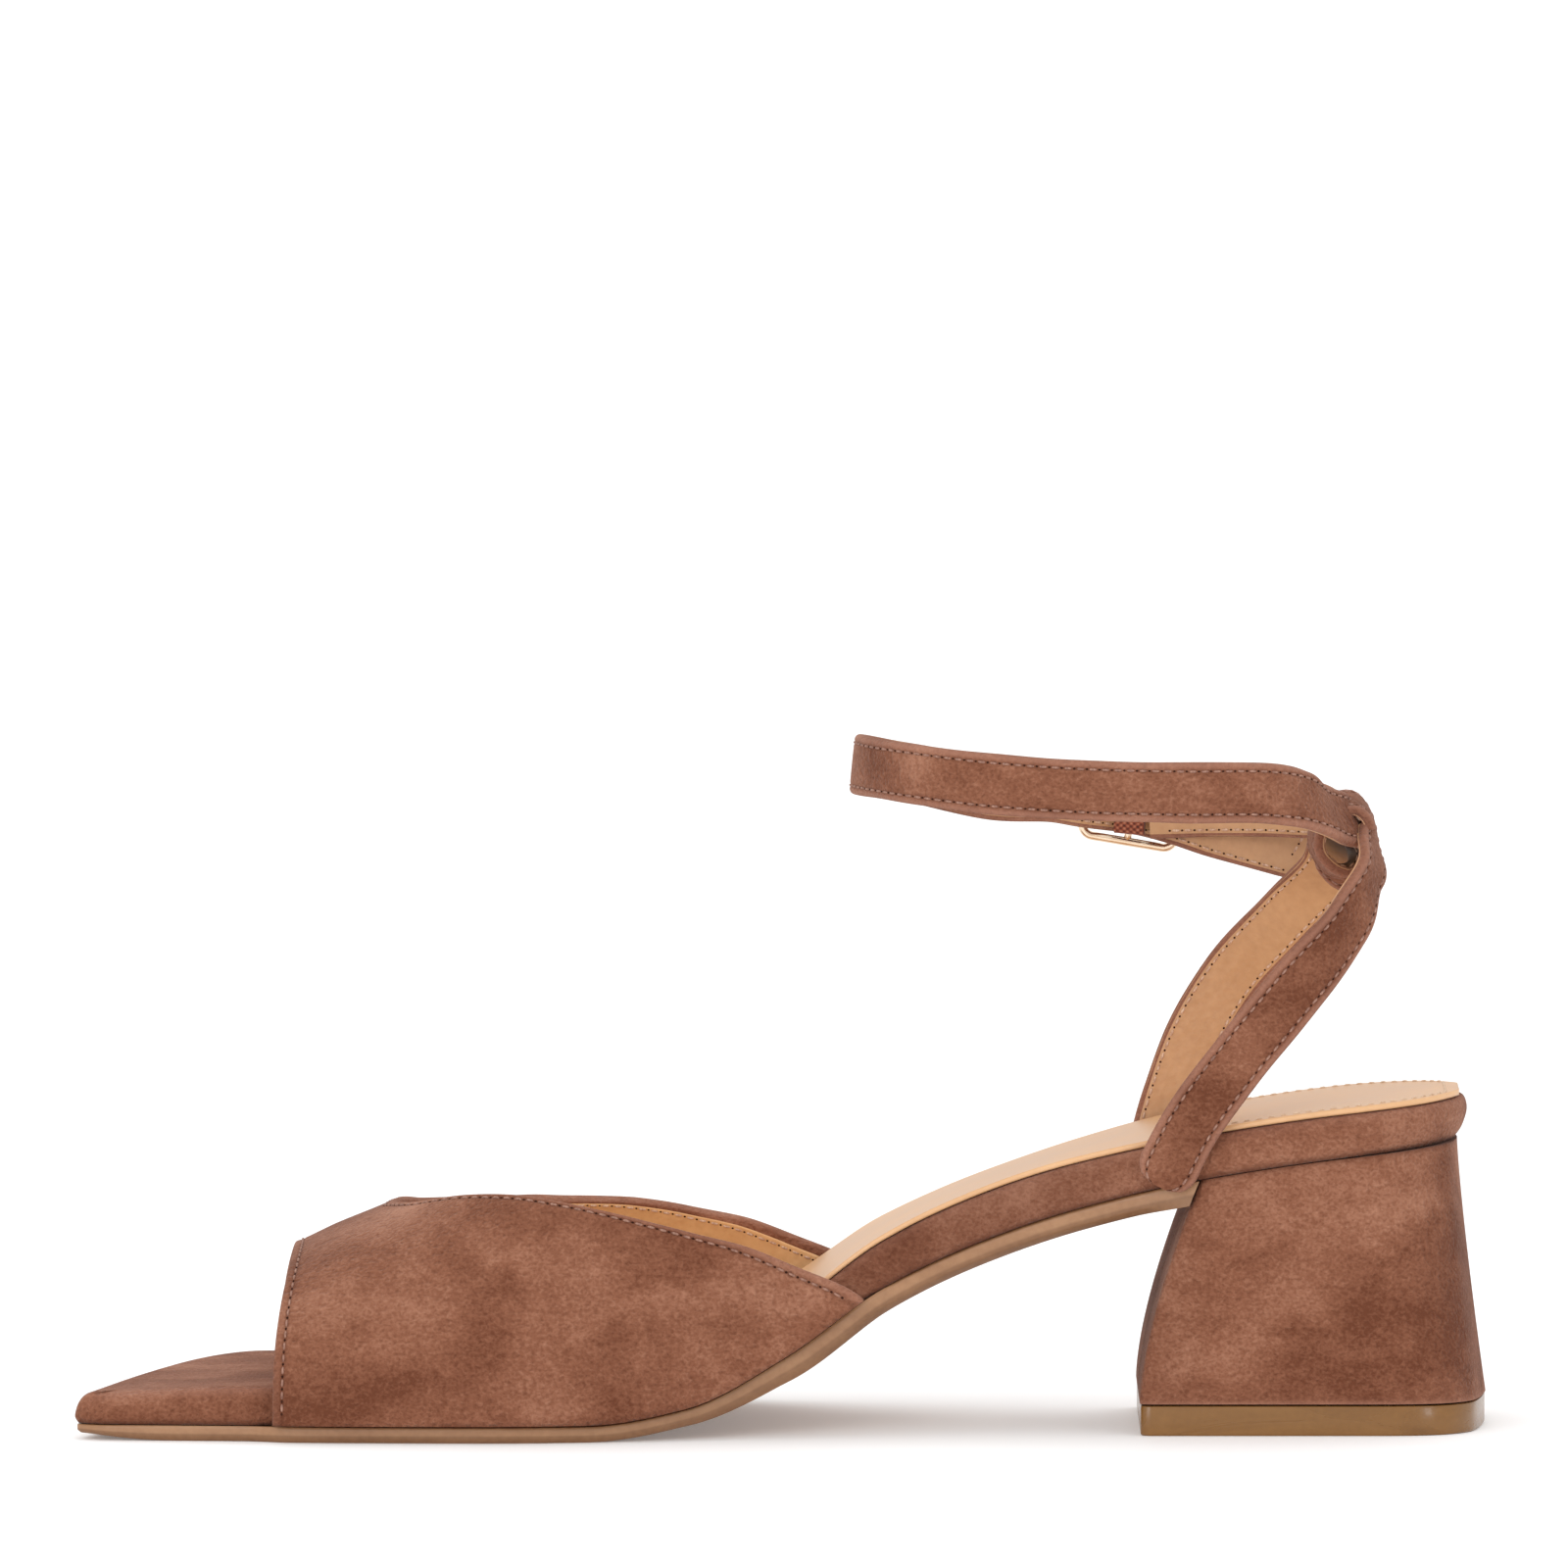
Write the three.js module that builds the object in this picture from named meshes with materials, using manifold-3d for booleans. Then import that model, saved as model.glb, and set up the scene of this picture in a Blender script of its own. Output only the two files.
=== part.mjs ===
// Heeled sandal, right shoe, one of a pair: open toe vamp, crossed back straps, block heel.
// Millimetres, +Z up. Toe towards -X, heel towards +X, inner (medial) side towards -Y.
// Lengths along the shoe are measured from the toe tip, widths from the middle line of the heel seat.
// At the end the whole group is moved so that its origin is the middle of its box on the floor.

import * as THREE from 'three';
import Module from 'manifold-3d';

const wasm = await Module();
wasm.setup();

// Driving sizes of the last and the sole
const shoeLength = 240;
const ballWidth = 78;
const seatWidth = 50;
const seatRise = 47;
const toeSpring = 1.2;
const toeTipShift = 30;
const medialToeRound = 7;
const lateralToeRound = 33;
const seatRound = 23;

// Layers of the bottom
const outsoleThickness = 2.8;
const waistThickness = 4.0;
const outsoleToeInset = 0.9;
const toeInsoleThickness = 6.5;
const seatInsoleThickness = 7.3;
const toeSkive = 1.2;
const sockThickness = 0.8;
const sockEdge = 1.4;
const sockBehindFront = 16;
const sockBackTrim = 1.6;
const archTilt = 1.6;
const clearance = 0.3;

// Heel block and its top piece
const heelTopLength = 46.3;
const heelBottomLength = 60;
const heelBottomWidth = 52;
const heelBackFlare = 5;
const topPieceThickness = 5.2;
const topPieceInset = 0.15;
const heelSeatInset = 1.2;
const heelBackTuck = 0.6;
const breastCurve = 1.6;
const backCurve = 1.25;

// Vamp
const vampWall = 1.8;
const vampFront = 34.6;
const vampFrontRake = 3.3;
const throatDepth = 20.6;
const vampLength = 101.4;
const instepHeight = 69;
const ridgeShift = 6;
const vampRoundness = 2.3;
const vampStandOut = 1.0;

// Straps
const strapWidth = 10.4;
const strapThickness = 1.9;
const strapFromBack = 53.5;
const ankleHeight = 111.6;
const ankleLoopLength = 83.2;
const ankleLoopWidth = 62;
const knotHeight = 101.6;
const knotFromBack = 22;
const knotReach = 5.2;

// Buckle
const buckleLength = 17.6;
const buckleHeight = 14.2;
const buckleWire = 1.5;
const buckleCorner = 2;
const barShare = 0.86;
const buckleShare = 0.424;
const buckleDrop = 7.3;
const buckleSlope = 0.17;
const elasticWidth = 9.4;
const elasticThickness = 1.1;
const elasticPastBar = 3;
const prongWire = 1.2;
const prongSlot = 0.45;

// Meshing
const planSteps = 34;
const roundSteps = 8;
const sectionCorner = 0.32;
const wireSides = 8;

// A smooth curve through the rows of a table that neither overshoots nor dips between them.
function curveThrough(rows, column) {
  const at = rows.map((row) => row.at);
  const value = rows.map((row) => row[column]);
  const last = at.length - 1;
  const slope = at.slice(1).map((a, i) => (value[i + 1] - value[i]) / (a - at[i]));
  const tangent = at.map((a, i) => {
    if (i === 0) return slope[0];
    if (i === last) return slope[last - 1];
    if (slope[i - 1] * slope[i] <= 0) return 0;
    return (2 * slope[i - 1] * slope[i]) / (slope[i - 1] + slope[i]);
  });
  return (share) => {
    const s = Math.min(Math.max(share, at[0]), at[last]);
    let i = 0;
    while (i < last - 1 && s > at[i + 1]) i += 1;
    const span = at[i + 1] - at[i];
    const k = (s - at[i]) / span;
    const from = value[i] * (1 + 2 * k) * (1 - k) ** 2 + tangent[i] * span * k * (1 - k) ** 2;
    const to = value[i + 1] * k * k * (3 - 2 * k) - tangent[i + 1] * span * k * k * (1 - k);
    return from + to;
  };
}

const mix = THREE.MathUtils.lerp;
const smooth = THREE.MathUtils.smoothstep;

// Rounding of an outline's end over the given length: a quarter of an ellipse, or a parabola where
// the sharpness is 1.
function endRound(distance, length, sharpness = 0.5) {
  const k = Math.min(Math.max(distance / length, 0), 1);
  return (1 - (1 - k) ** 2) ** sharpness;
}

// Plan of the last: shares of the local width on the inner and the outer side of the middle line.
const planTable = [
  { at: 0.0, medial: 0.435, lateral: 0.35 },
  { at: 0.1, medial: 0.455, lateral: 0.4 },
  { at: 0.2, medial: 0.48, lateral: 0.455 },
  { at: 0.3, medial: 0.49, lateral: 0.5 },
  { at: 0.4, medial: 0.47, lateral: 0.53 },
  { at: 0.5, medial: 0.437, lateral: 0.535 },
  { at: 0.6, medial: 0.428, lateral: 0.506 },
  { at: 0.7, medial: 0.445, lateral: 0.49 },
  { at: 0.8, medial: 0.475, lateral: 0.49 },
  { at: 0.88, medial: 0.5, lateral: 0.5 },
  { at: 1.0, medial: 0.5, lateral: 0.5 },
];
const medialShare = curveThrough(planTable, 'medial');
const lateralShare = curveThrough(planTable, 'lateral');

// Side view of the last: where the upper's bottom edge meets the outsole, as shares of the seat's rise.
const profileTable = [
  { at: 0.0, rise: 0.0 },
  { at: 0.368, rise: 0.0 },
  { at: 0.438, rise: 0.053 },
  { at: 0.508, rise: 0.229 },
  { at: 0.579, rise: 0.479 },
  { at: 0.649, rise: 0.646 },
  { at: 0.719, rise: 0.767 },
  { at: 0.804, rise: 0.872 },
  { at: 0.9, rise: 0.95 },
  { at: 1.0, rise: 1.0 },
];
const riseShare = curveThrough(profileTable, 'rise');

// Half width of the last at a length from the toe, side -1 on the inner and 1 on the outer side.
function plan(length, side) {
  const at = length / shoeLength;
  const width = mix(ballWidth, seatWidth, smooth(at, 0.3, 0.75));
  const share = side < 0 ? medialShare(at) : lateralShare(at);
  const toe = side < 0 ? endRound(length, medialToeRound) : endRound(length, lateralToeRound, 1);
  const back = endRound(shoeLength - length, seatRound);
  const full = side * share * width;
  return (-toeTipShift + (full + toeTipShift) * toe) * back;
}

// Height of the joint between the outsole or heel below and the insole or vamp above.
function featherHeight(length) {
  return outsoleThickness + seatRise * riseShare(length / shoeLength);
}

function insoleThickness(length) {
  const at = length / shoeLength;
  const skive = toeSkive * (1 - smooth(at, 0, 0.13));
  return mix(toeInsoleThickness, seatInsoleThickness, smooth(at, 0.4, 0.58)) - skive;
}

// Thickness of the outsole square to its slope, turned into a height.
function outsoleHeight(length) {
  const step = 1;
  const slope = (featherHeight(length + step) - featherHeight(length - step)) / (2 * step);
  const square = mix(outsoleThickness, waistThickness, smooth(length / shoeLength, 0.43, 0.54));
  return square * Math.hypot(1, slope);
}

// The arch lifts the inner edge of the insole a little above the outer edge.
function archLift(length, y) {
  const at = length / shoeLength;
  const arch = smooth(at, 0.45, 0.62) * (1 - smooth(at, 0.66, 0.8));
  return -archTilt * arch * (y / seatWidth);
}

const throat = vampFront + throatDepth;
const vampRear = vampFront + vampLength;

// Under the vamp the insole steps in and the outsole steps out, so that the vamp's edge has its seat.
function underVamp(length) {
  const front = smooth(length, vampFront - 5, vampFront + 3);
  return front * (1 - smooth(length, vampRear - 6, vampRear + 6));
}

function closedMesh(name, positions, triangles, material) {
  const geometry = new THREE.BufferGeometry();
  geometry.setAttribute('position', new THREE.Float32BufferAttribute(positions.flat(), 3));
  geometry.setIndex(triangles.flat());
  geometry.computeVertexNormals();
  const mesh = new THREE.Mesh(geometry, material);
  mesh.name = name;
  return mesh;
}

// A loop of matched stations: inner side from front to back, then outer side from back to front.
function loopOf(stations, edge) {
  const inner = stations.map((s) => edge(s, -1));
  const outer = stations.map((s) => edge(s, 1)).reverse();
  return [...inner, ...outer];
}

// Closes the loop that starts at a vertex: a spine runs down its middle, with triangles to both sides.
function capOf(positions, start, count, facesUp) {
  const triangles = [];
  const add = (a, b, c) => triangles.push(facesUp ? [a, c, b] : [a, b, c]);
  const half = count / 2;
  const innerOf = (i) => start + i;
  const outerOf = (i) => start + count - 1 - i;
  const spine = positions.length - 1;
  for (let i = 1; i < half - 1; i += 1) {
    const inner = new THREE.Vector3(...positions[innerOf(i)]);
    const outer = new THREE.Vector3(...positions[outerOf(i)]);
    positions.push(inner.lerp(outer, 0.5).toArray());
  }
  for (let i = 1; i + 1 < half - 1; i += 1) {
    const m = spine + i;
    add(innerOf(i), m, m + 1);
    add(innerOf(i), m + 1, innerOf(i + 1));
    add(m, outerOf(i), outerOf(i + 1));
    add(m, outerOf(i + 1), m + 1);
  }
  for (const [end, next, turned] of [[0, 1, false], [half - 1, half - 2, true]]) {
    const m = spine + next;
    const fan = [[innerOf(end), outerOf(end), m], [outerOf(end), outerOf(next), m], [innerOf(next), innerOf(end), m]];
    fan.forEach(([a, b, c]) => (turned ? add(a, c, b) : add(a, b, c)));
  }
  return triangles;
}

// Closed solid from loops laid one above the other.
function stackedSolid(name, rings, material) {
  const count = rings[0].length;
  const triangles = [];
  for (let ring = 0; ring + 1 < rings.length; ring += 1) {
    for (let i = 0; i < count; i += 1) {
      const a = ring * count + i;
      const b = ring * count + ((i + 1) % count);
      triangles.push([a, b, b + count], [a, b + count, a + count]);
    }
  }
  const positions = rings.flat();
  triangles.push(...capOf(positions, 0, count, false));
  triangles.push(...capOf(positions, (rings.length - 1) * count, count, true));
  return closedMesh(name, positions, triangles, material);
}

// Stations along the last that every layer shares: close together where the ends are round.
function lastStations() {
  const quarter = (k) => 1 - Math.cos((Math.PI / 2) * (k / roundSteps));
  const toe = Array.from({ length: roundSteps }, (unused, k) => medialToeRound * quarter(k));
  const back = toe.map((unused, k) => shoeLength - seatRound * quarter(k)).reverse();
  const span = shoeLength - seatRound - medialToeRound;
  const even = Array.from({ length: planSteps + 1 }, (unused, k) => medialToeRound + (span * k) / planSteps);
  return [...toe, ...even, ...back];
}

const endTrim = 0.02;
const insoleStep = 1.2;

function stationsBetween(from, to) {
  const apart = 0.25;
  const within = lastStations().filter((length) => length > from + apart && length < to - apart);
  return [from, ...within, to];
}

// How square to the shoe's length the outline's edge runs: 1 along the sides, 0 at the tip.
function sideways(length, side) {
  const step = 0.05;
  const slope = (plan(length + step, side) - plan(length - step, side)) / (2 * step);
  return 1 / Math.hypot(1, slope);
}

// The last's outline between two lengths, moved inwards: at its ends along the shoe, with the shift
// fading over the end's reach, and at its sides across the shoe, less where the outline is narrow.
function insetOutline(from, to, insetAt) {
  const reach = 36;
  const fade = (distance) => (1 - Math.min(distance / reach, 1)) ** 2;
  return loopOf(stationsBetween(from, to), (length, side) => {
    const inset = insetAt(length);
    const half = (plan(length, 1) - plan(length, -1)) / 2;
    const narrow = half ** 2 / (half ** 2 + inset ** 2);
    const along = insetAt(from) * fade(length - from) - insetAt(to) * fade(to - length);
    const across = inset * sideways(length, side) * narrow;
    return [length + along, plan(length, side) - side * across];
  });
}

// Insole: stiff board wrapped in suede, with a soft rounded upper edge.
function makeInsole(material) {
  const edgeProfile = [
    { inset: 0.9, rise: 0.0 },
    { inset: 0.15, rise: 0.2 },
    { inset: 0.0, rise: 0.5 },
    { inset: 0.35, rise: 0.8 },
    { inset: 1.1, rise: 0.95 },
    { inset: 2.4, rise: 1.0 },
  ];
  const rings = edgeProfile.map((row) => {
    const inset = (length) => row.inset + insoleStep * underVamp(length);
    const loop = insetOutline(endTrim, shoeLength - endTrim, inset);
    return loop.map(([x, y]) => {
      const bottom = featherHeight(x) + clearance / 2;
      return [x, y, bottom + row.rise * (insoleThickness(x) + archLift(x, y))];
    });
  });
  return stackedSolid('insole', rings, material);
}

// Sock lining: thin leather sheet on the insole, from under the vamp to the back of the seat.
function makeSockLining(material) {
  const front = vampFront + sockBehindFront;
  const back = shoeLength - sockBackTrim;
  const frontCorner = 7;
  const backCorner = 6;
  const narrowest = 0.8;
  const stations = stationsBetween(front, back);
  const edge = (length, side) => {
    const inset = sockEdge + insoleStep * underVamp(length);
    const corner = endRound(length - front + endTrim, frontCorner) * endRound(back + endTrim - length, backCorner);
    return [length, (plan(length, side) - side * inset) * mix(narrowest, 1, corner)];
  };
  const outline = loopOf(stations, edge);
  const rings = [0, 1].map((share) => outline.map(([x, y]) => {
    const insoleTop = featherHeight(x) + clearance / 2 + insoleThickness(x) + archLift(x, y);
    return [x, y, insoleTop + clearance + share * sockThickness];
  }));
  return stackedSolid('sock_lining', rings, material);
}

const heelFrontTop = shoeLength - heelTopLength;
const heelBackTop = shoeLength - heelSeatInset - heelBackTuck;
const heelBackBottom = heelBackTop + heelBackFlare;
const heelFoot = topPieceThickness + clearance;

// The heel's curved front, at a share of the heel's height, 0 under the seat and 1 at the foot.
function heelFront(share) {
  return mix(heelFrontTop, heelBackBottom - heelBottomLength, 1 - (1 - share) ** breastCurve);
}

// Outsole: thin leather sole from the toe to the front of the heel, with a bevelled waist.
function makeOutsole(material) {
  const waistInset = 0.6;
  const stepOut = 1.8;
  const leanOver = 12;
  const heelHeight = featherHeight(heelFrontTop) - heelFoot;
  const bevel = (x) => mix(0.6, 2.0, smooth(x / shoeLength, 0.5, 0.64));
  const edgeProfile = [
    { inset: 1.0, rise: 0.0 },
    { inset: 0.0, rise: 0.34 },
    { inset: 0.0, rise: 0.8 },
    { inset: 0.25, rise: 1.0 },
  ];
  const rings = edgeProfile.map((row) => {
    const loop = insetOutline(endTrim, heelFrontTop - clearance, (x) => {
      const side = outsoleToeInset + waistInset * smooth(x / shoeLength, 0.55, 0.62);
      const end = smooth(x, heelFrontTop - leanOver, heelFrontTop - clearance);
      return mix(side - stepOut * underVamp(x) + row.inset * bevel(x), 0, end);
    });
    return loop.map(([flat, y]) => {
      const depth = (1 - row.rise) * outsoleHeight(flat) / heelHeight;
      const lean = smooth(flat, heelFrontTop - leanOver, heelFrontTop) * (heelFrontTop - heelFront(depth));
      const x = flat - lean;
      const above = featherHeight(x) - clearance / 2;
      const spring = toeSpring * (1 - smooth(x / shoeLength, 0, 0.09)) ** 2;
      const bottom = Math.max(featherHeight(x) - outsoleHeight(x) + spring, 0);
      return [x, y, mix(bottom, above, row.rise)];
    });
  });
  return stackedSolid('outsole', rings, material);
}

// Plan of the heel block at a share of its height, 0 under the seat and 1 at the floor.
function heelRing(share, inset, height) {
  const backFlare = share ** backCurve;
  const frontFlare = 1 - (1 - share) ** breastCurve;
  const steps = 18;
  const stations = Array.from({ length: steps + 1 }, (unused, i) => Math.sin((Math.PI / 2) * (i / steps)));
  return loopOf(stations, (s, side) => {
    const flare = mix(frontFlare, backFlare, s);
    const topX = mix(heelFrontTop, heelBackTop, s);
    const topY = side * (Math.abs(plan(topX, side)) - heelSeatInset) * (s > 0.9999 ? 0.2 : 1);
    const bottomX = mix(heelBackBottom - heelBottomLength, heelBackBottom, s);
    const corner = Math.max(0, 1 - Math.max(0, (s - 0.55) / 0.45) ** 5) ** 0.5;
    const bottomY = side * (heelBottomWidth / 2) * mix(0.18, 1, corner);
    const x = mix(topX, bottomX, flare);
    const y = mix(topY, bottomY, backFlare);
    const toMiddle = (s - 0.45) * 2 * inset;
    return [x - toMiddle, y - side * inset * (Math.abs(y) > inset ? 1 : 0), height(x, share)];
  });
}

// Heel: suede covered block, flared to the back and forwards at its foot.
function makeHeel(material) {
  const top = (x) => featherHeight(Math.min(x, shoeLength)) - clearance / 2;
  const height = (x, share) => mix(top(x), heelFoot, share);
  const shares = [0, 0.12, 0.26, 0.42, 0.6, 0.8, 1];
  return stackedSolid('heel', shares.map((share) => heelRing(share, 0, height)).reverse(), material);
}

// Heel top piece: the hard wearing lift under the block, a hair smaller than the block.
function makeTopPiece(material) {
  const edgeRound = 0.5;
  const layers = [
    { inset: topPieceInset + edgeRound, z: 0 },
    { inset: topPieceInset, z: edgeRound },
    { inset: topPieceInset, z: topPieceThickness },
  ];
  const rings = layers.map((row) => heelRing(1, row.inset, () => row.z));
  return stackedSolid('heel_top_piece', rings, material);
}

// Height of the last's crown above the floor, as shares of the instep height at the vamp's rear.
const crownTable = [
  { at: 0.1, crown: 0.385 },
  { at: 0.157, crown: 0.428 },
  { at: 0.19, crown: 0.479 },
  { at: 0.2275, crown: 0.533 },
  { at: 0.283, crown: 0.63 },
  { at: 0.34, crown: 0.74 },
  { at: 0.404, crown: 0.82 },
  { at: 0.473, crown: 0.893 },
  { at: 0.57, crown: 1.0 },
];
const crownShare = curveThrough(crownTable, 'crown');

// Topline: along is the share of the way from the throat to the rear corner, and each side's rise
// is the share of the section's height that the wall reaches there.
const toplineTable = [
  { along: 0.0, medial: 1.0, lateral: 1.0 },
  { along: 0.05, medial: 0.978, lateral: 0.93 },
  { along: 0.165, medial: 0.915, lateral: 0.8 },
  { along: 0.337, medial: 0.775, lateral: 0.672 },
  { along: 0.521, medial: 0.64, lateral: 0.59 },
  { along: 0.726, medial: 0.466, lateral: 0.441 },
  { along: 0.828, medial: 0.33, lateral: 0.314 },
  { along: 0.934, medial: 0.153, lateral: 0.145 },
  { along: 1.0, medial: 0.0, lateral: 0.0 },
];

// The angle over the section, 0 at the bottom edge and a quarter turn at the crown, for a rise.
function angleOfRise(rise) {
  return Math.asin(Math.min(rise ** (vampRoundness / 2), 1));
}

function toplineOf(side) {
  const rows = toplineTable.map((row) => ({
    at: angleOfRise(side < 0 ? row.medial : row.lateral) / (Math.PI / 2),
    length: mix(throat, vampRear, row.along),
  }));
  return curveThrough(rows.reverse(), 'length');
}
const medialTopline = toplineOf(-1);
const lateralTopline = toplineOf(1);

// Point of the vamp's lined face, against the foot: over runs from 0 at the medial bottom edge over
// the crown to 1, back from 0 at the front edge to 1 at the topline.
function vampPoint(back, over) {
  const side = over < 0.5 ? -1 : 1;
  const climb = 1 - Math.abs(over - 0.5) * 2;
  const angle = climb * (Math.PI / 2);
  const front = vampFront + vampFrontRake * Math.sin(angle) ** 2.6;
  const rear = side < 0 ? medialTopline(climb) : lateralTopline(climb);
  const x = mix(front, rear, back);
  const base = featherHeight(x) + clearance / 2;
  const height = instepHeight * crownShare(x / shoeLength) - base;
  const wide = plan(x, side) + side * vampStandOut;
  const y = wide * Math.cos(angle) ** (2 / vampRoundness) - ridgeShift * Math.sin(angle) ** 2;
  return new THREE.Vector3(x, y, base + height * Math.sin(angle) ** (2 / vampRoundness));
}

// Direction square to the vamp's lined face, towards the foot, from four near points.
function vampNormal(back, over) {
  const step = 0.004;
  const edge = 0.0005;
  const alongA = vampPoint(Math.max(back - step, 0), over);
  const alongB = vampPoint(Math.min(back + step, 1), over);
  const roundA = vampPoint(back, Math.max(over - step, edge));
  const roundB = vampPoint(back, Math.min(over + step, 1 - edge));
  return roundB.sub(roundA).cross(alongB.sub(alongA)).normalize();
}

// Vamp: one wall over the foot, open at the toe, at the throat and underneath.
function makeVamp(material) {
  const backSteps = 22;
  const overSteps = 40;
  const linedSide = [];
  const suedeSide = [];
  for (let i = 0; i <= backSteps; i += 1) {
    for (let j = 0; j <= overSteps; j += 1) {
      const over = mix(0.0005, 0.9995, j / overSteps);
      const point = vampPoint(i / backSteps, over);
      const normal = vampNormal(i / backSteps, over);
      const lean = j === 0 || j === overSteps ? 0 : normal.z;
      const outwards = new THREE.Vector3(normal.x * 0.35, normal.y, lean).normalize().multiplyScalar(-vampWall);
      linedSide.push(point.toArray());
      suedeSide.push(point.clone().add(outwards).toArray());
    }
  }
  const row = overSteps + 1;
  const offset = linedSide.length;
  const triangles = [];
  const quad = (a, b, c, d) => triangles.push([a, b, c], [a, c, d]);
  for (let i = 0; i < backSteps; i += 1) {
    for (let j = 0; j < overSteps; j += 1) {
      const a = i * row + j;
      quad(a, a + 1, a + row + 1, a + row);
      quad(offset + a, offset + a + row, offset + a + row + 1, offset + a + 1);
    }
    const low = i * row;
    const high = low + overSteps;
    quad(low, low + row, offset + low + row, offset + low);
    quad(high, offset + high, offset + high + row, high + row);
  }
  for (let j = 0; j < overSteps; j += 1) {
    const end = backSteps * row + j;
    quad(j, offset + j, offset + j + 1, j + 1);
    quad(end, end + 1, offset + end + 1, offset + end);
  }
  return closedMesh('vamp', [...linedSide, ...suedeSide], triangles, material);
}

// The sections of a strip or wire along a curve through points. acrossAt gives their first axis.
function carriedRings(points, acrossAt, section, scaleAt, steps, closed = false) {
  const curve = new THREE.CatmullRomCurve3(points, closed, 'centripetal');
  const count = closed ? steps : steps + 1;
  return Array.from({ length: count }, (unused, i) => {
    const share = i / steps;
    const centre = curve.getPointAt(share);
    const run = curve.getTangentAt(share);
    const across = acrossAt(curve.getUtoTmapping(share));
    across.addScaledVector(run, -across.dot(run)).normalize();
    const out = new THREE.Vector3().crossVectors(across, run).normalize();
    const scale = scaleAt(share * curve.getLength());
    return section.map(([a, b]) => centre.clone()
      .addScaledVector(across, a * scale)
      .addScaledVector(out, b));
  });
}

function solidOfRings(rings, closed) {
  const side = rings[0].length;
  const vertices = rings.flat().flatMap((point) => point.toArray());
  const triangles = [];
  const bands = closed ? rings.length : rings.length - 1;
  for (let i = 0; i < bands; i += 1) {
    const next = (i + 1) % rings.length;
    for (let j = 0; j < side; j += 1) {
      const k = (j + 1) % side;
      triangles.push(i * side + j, next * side + j, next * side + k);
      triangles.push(i * side + j, next * side + k, i * side + k);
    }
  }
  if (!closed) {
    const end = (rings.length - 1) * side;
    for (let j = 1; j + 1 < side; j += 1) {
      triangles.push(0, j, j + 1);
      triangles.push(end, end + j + 1, end + j);
    }
  }
  return new wasm.Manifold(new wasm.Mesh({
    numProp: 3,
    vertProperties: new Float32Array(vertices),
    triVerts: new Uint32Array(triangles),
  }));
}

// A strip that crosses itself is made in stretches, each sharing one step with the next.
function solidInStretches(rings, stretches) {
  const size = Math.ceil((rings.length - 1) / stretches);
  const parts = Array.from({ length: stretches }, (unused, i) => {
    return solidOfRings(rings.slice(i * size, (i + 1) * size + 2), false);
  });
  return wasm.Manifold.union(parts);
}

function meshOfSolid(name, solid, material) {
  const { vertProperties, triVerts } = solid.getMesh();
  const geometry = new THREE.BufferGeometry();
  geometry.setAttribute('position', new THREE.BufferAttribute(vertProperties, 3));
  geometry.setIndex(new THREE.BufferAttribute(triVerts, 1));
  geometry.computeVertexNormals();
  const mesh = new THREE.Mesh(geometry, material);
  mesh.name = name;
  return mesh;
}

// Flat strip section with its four corners cut, seen along the strip.
function stripSection(width, thickness) {
  const a = width / 2;
  const b = thickness / 2;
  const c = thickness * sectionCorner;
  return [
    [-a, -b + c], [-a + c, -b], [a - c, -b], [a, -b + c],
    [a, b - c], [a - c, b], [-a + c, b], [-a, b - c],
  ];
}

function wireSection(diameter, sides) {
  return Array.from({ length: sides }, (unused, i) => {
    const angle = (2 * Math.PI * i) / sides;
    return [(Math.cos(angle) * diameter) / 2, (Math.sin(angle) * diameter) / 2];
  });
}

// Direction from a strip's front or upper edge to its other edge, turned smoothly between the rows.
function acrossOf(rows) {
  const vectors = rows.map((row) => new THREE.Vector3(...row.across).normalize());
  return (share) => {
    const place = share * (rows.length - 1);
    const i = Math.min(Math.floor(place), rows.length - 2);
    const k = place - i;
    return vectors[i].clone().lerp(vectors[i + 1], k * k * (3 - 2 * k));
  };
}

// A riser's rows are shares of the way from its seat on the insole's side to the knot behind the
// ankle: back along the shoe, rise in height, side as a share of the seat's distance sideways.
const medialRiser = [
  { back: 0.0, rise: 0.0, side: 1.0, across: [0.81, 0, -0.59] },
  { back: 0.17, rise: 0.18, side: 1.03, across: [0.82, 0, -0.57] },
  { back: 0.425, rise: 0.37, side: 1.06, across: [0.79, 0, -0.61] },
  { back: 0.7, rise: 0.55, side: 0.98, across: [0.79, 0.1, -0.6] },
  { back: 1.01, rise: 0.77, side: 0.7, across: [0.72, 0.38, -0.5] },
  { back: 1.13, rise: 0.91, side: 0.42, across: [0.55, 0.8, -0.2] },
];
const lateralRiser = [
  { back: 0.0, rise: 0.0, side: 1.0, across: [0.9, 0, -0.42] },
  { back: 0.09, rise: 0.18, side: 1.04, across: [0.93, 0, -0.37] },
  { back: 0.22, rise: 0.37, side: 1.06, across: [0.9, 0, -0.44] },
  { back: 0.42, rise: 0.55, side: 1.02, across: [0.79, 0, -0.62] },
  { back: 0.71, rise: 0.73, side: 0.78, across: [0.76, -0.1, -0.64] },
  { back: 0.95, rise: 0.89, side: 0.4, across: [0.7, 0.3, -0.64] },
];

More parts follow.
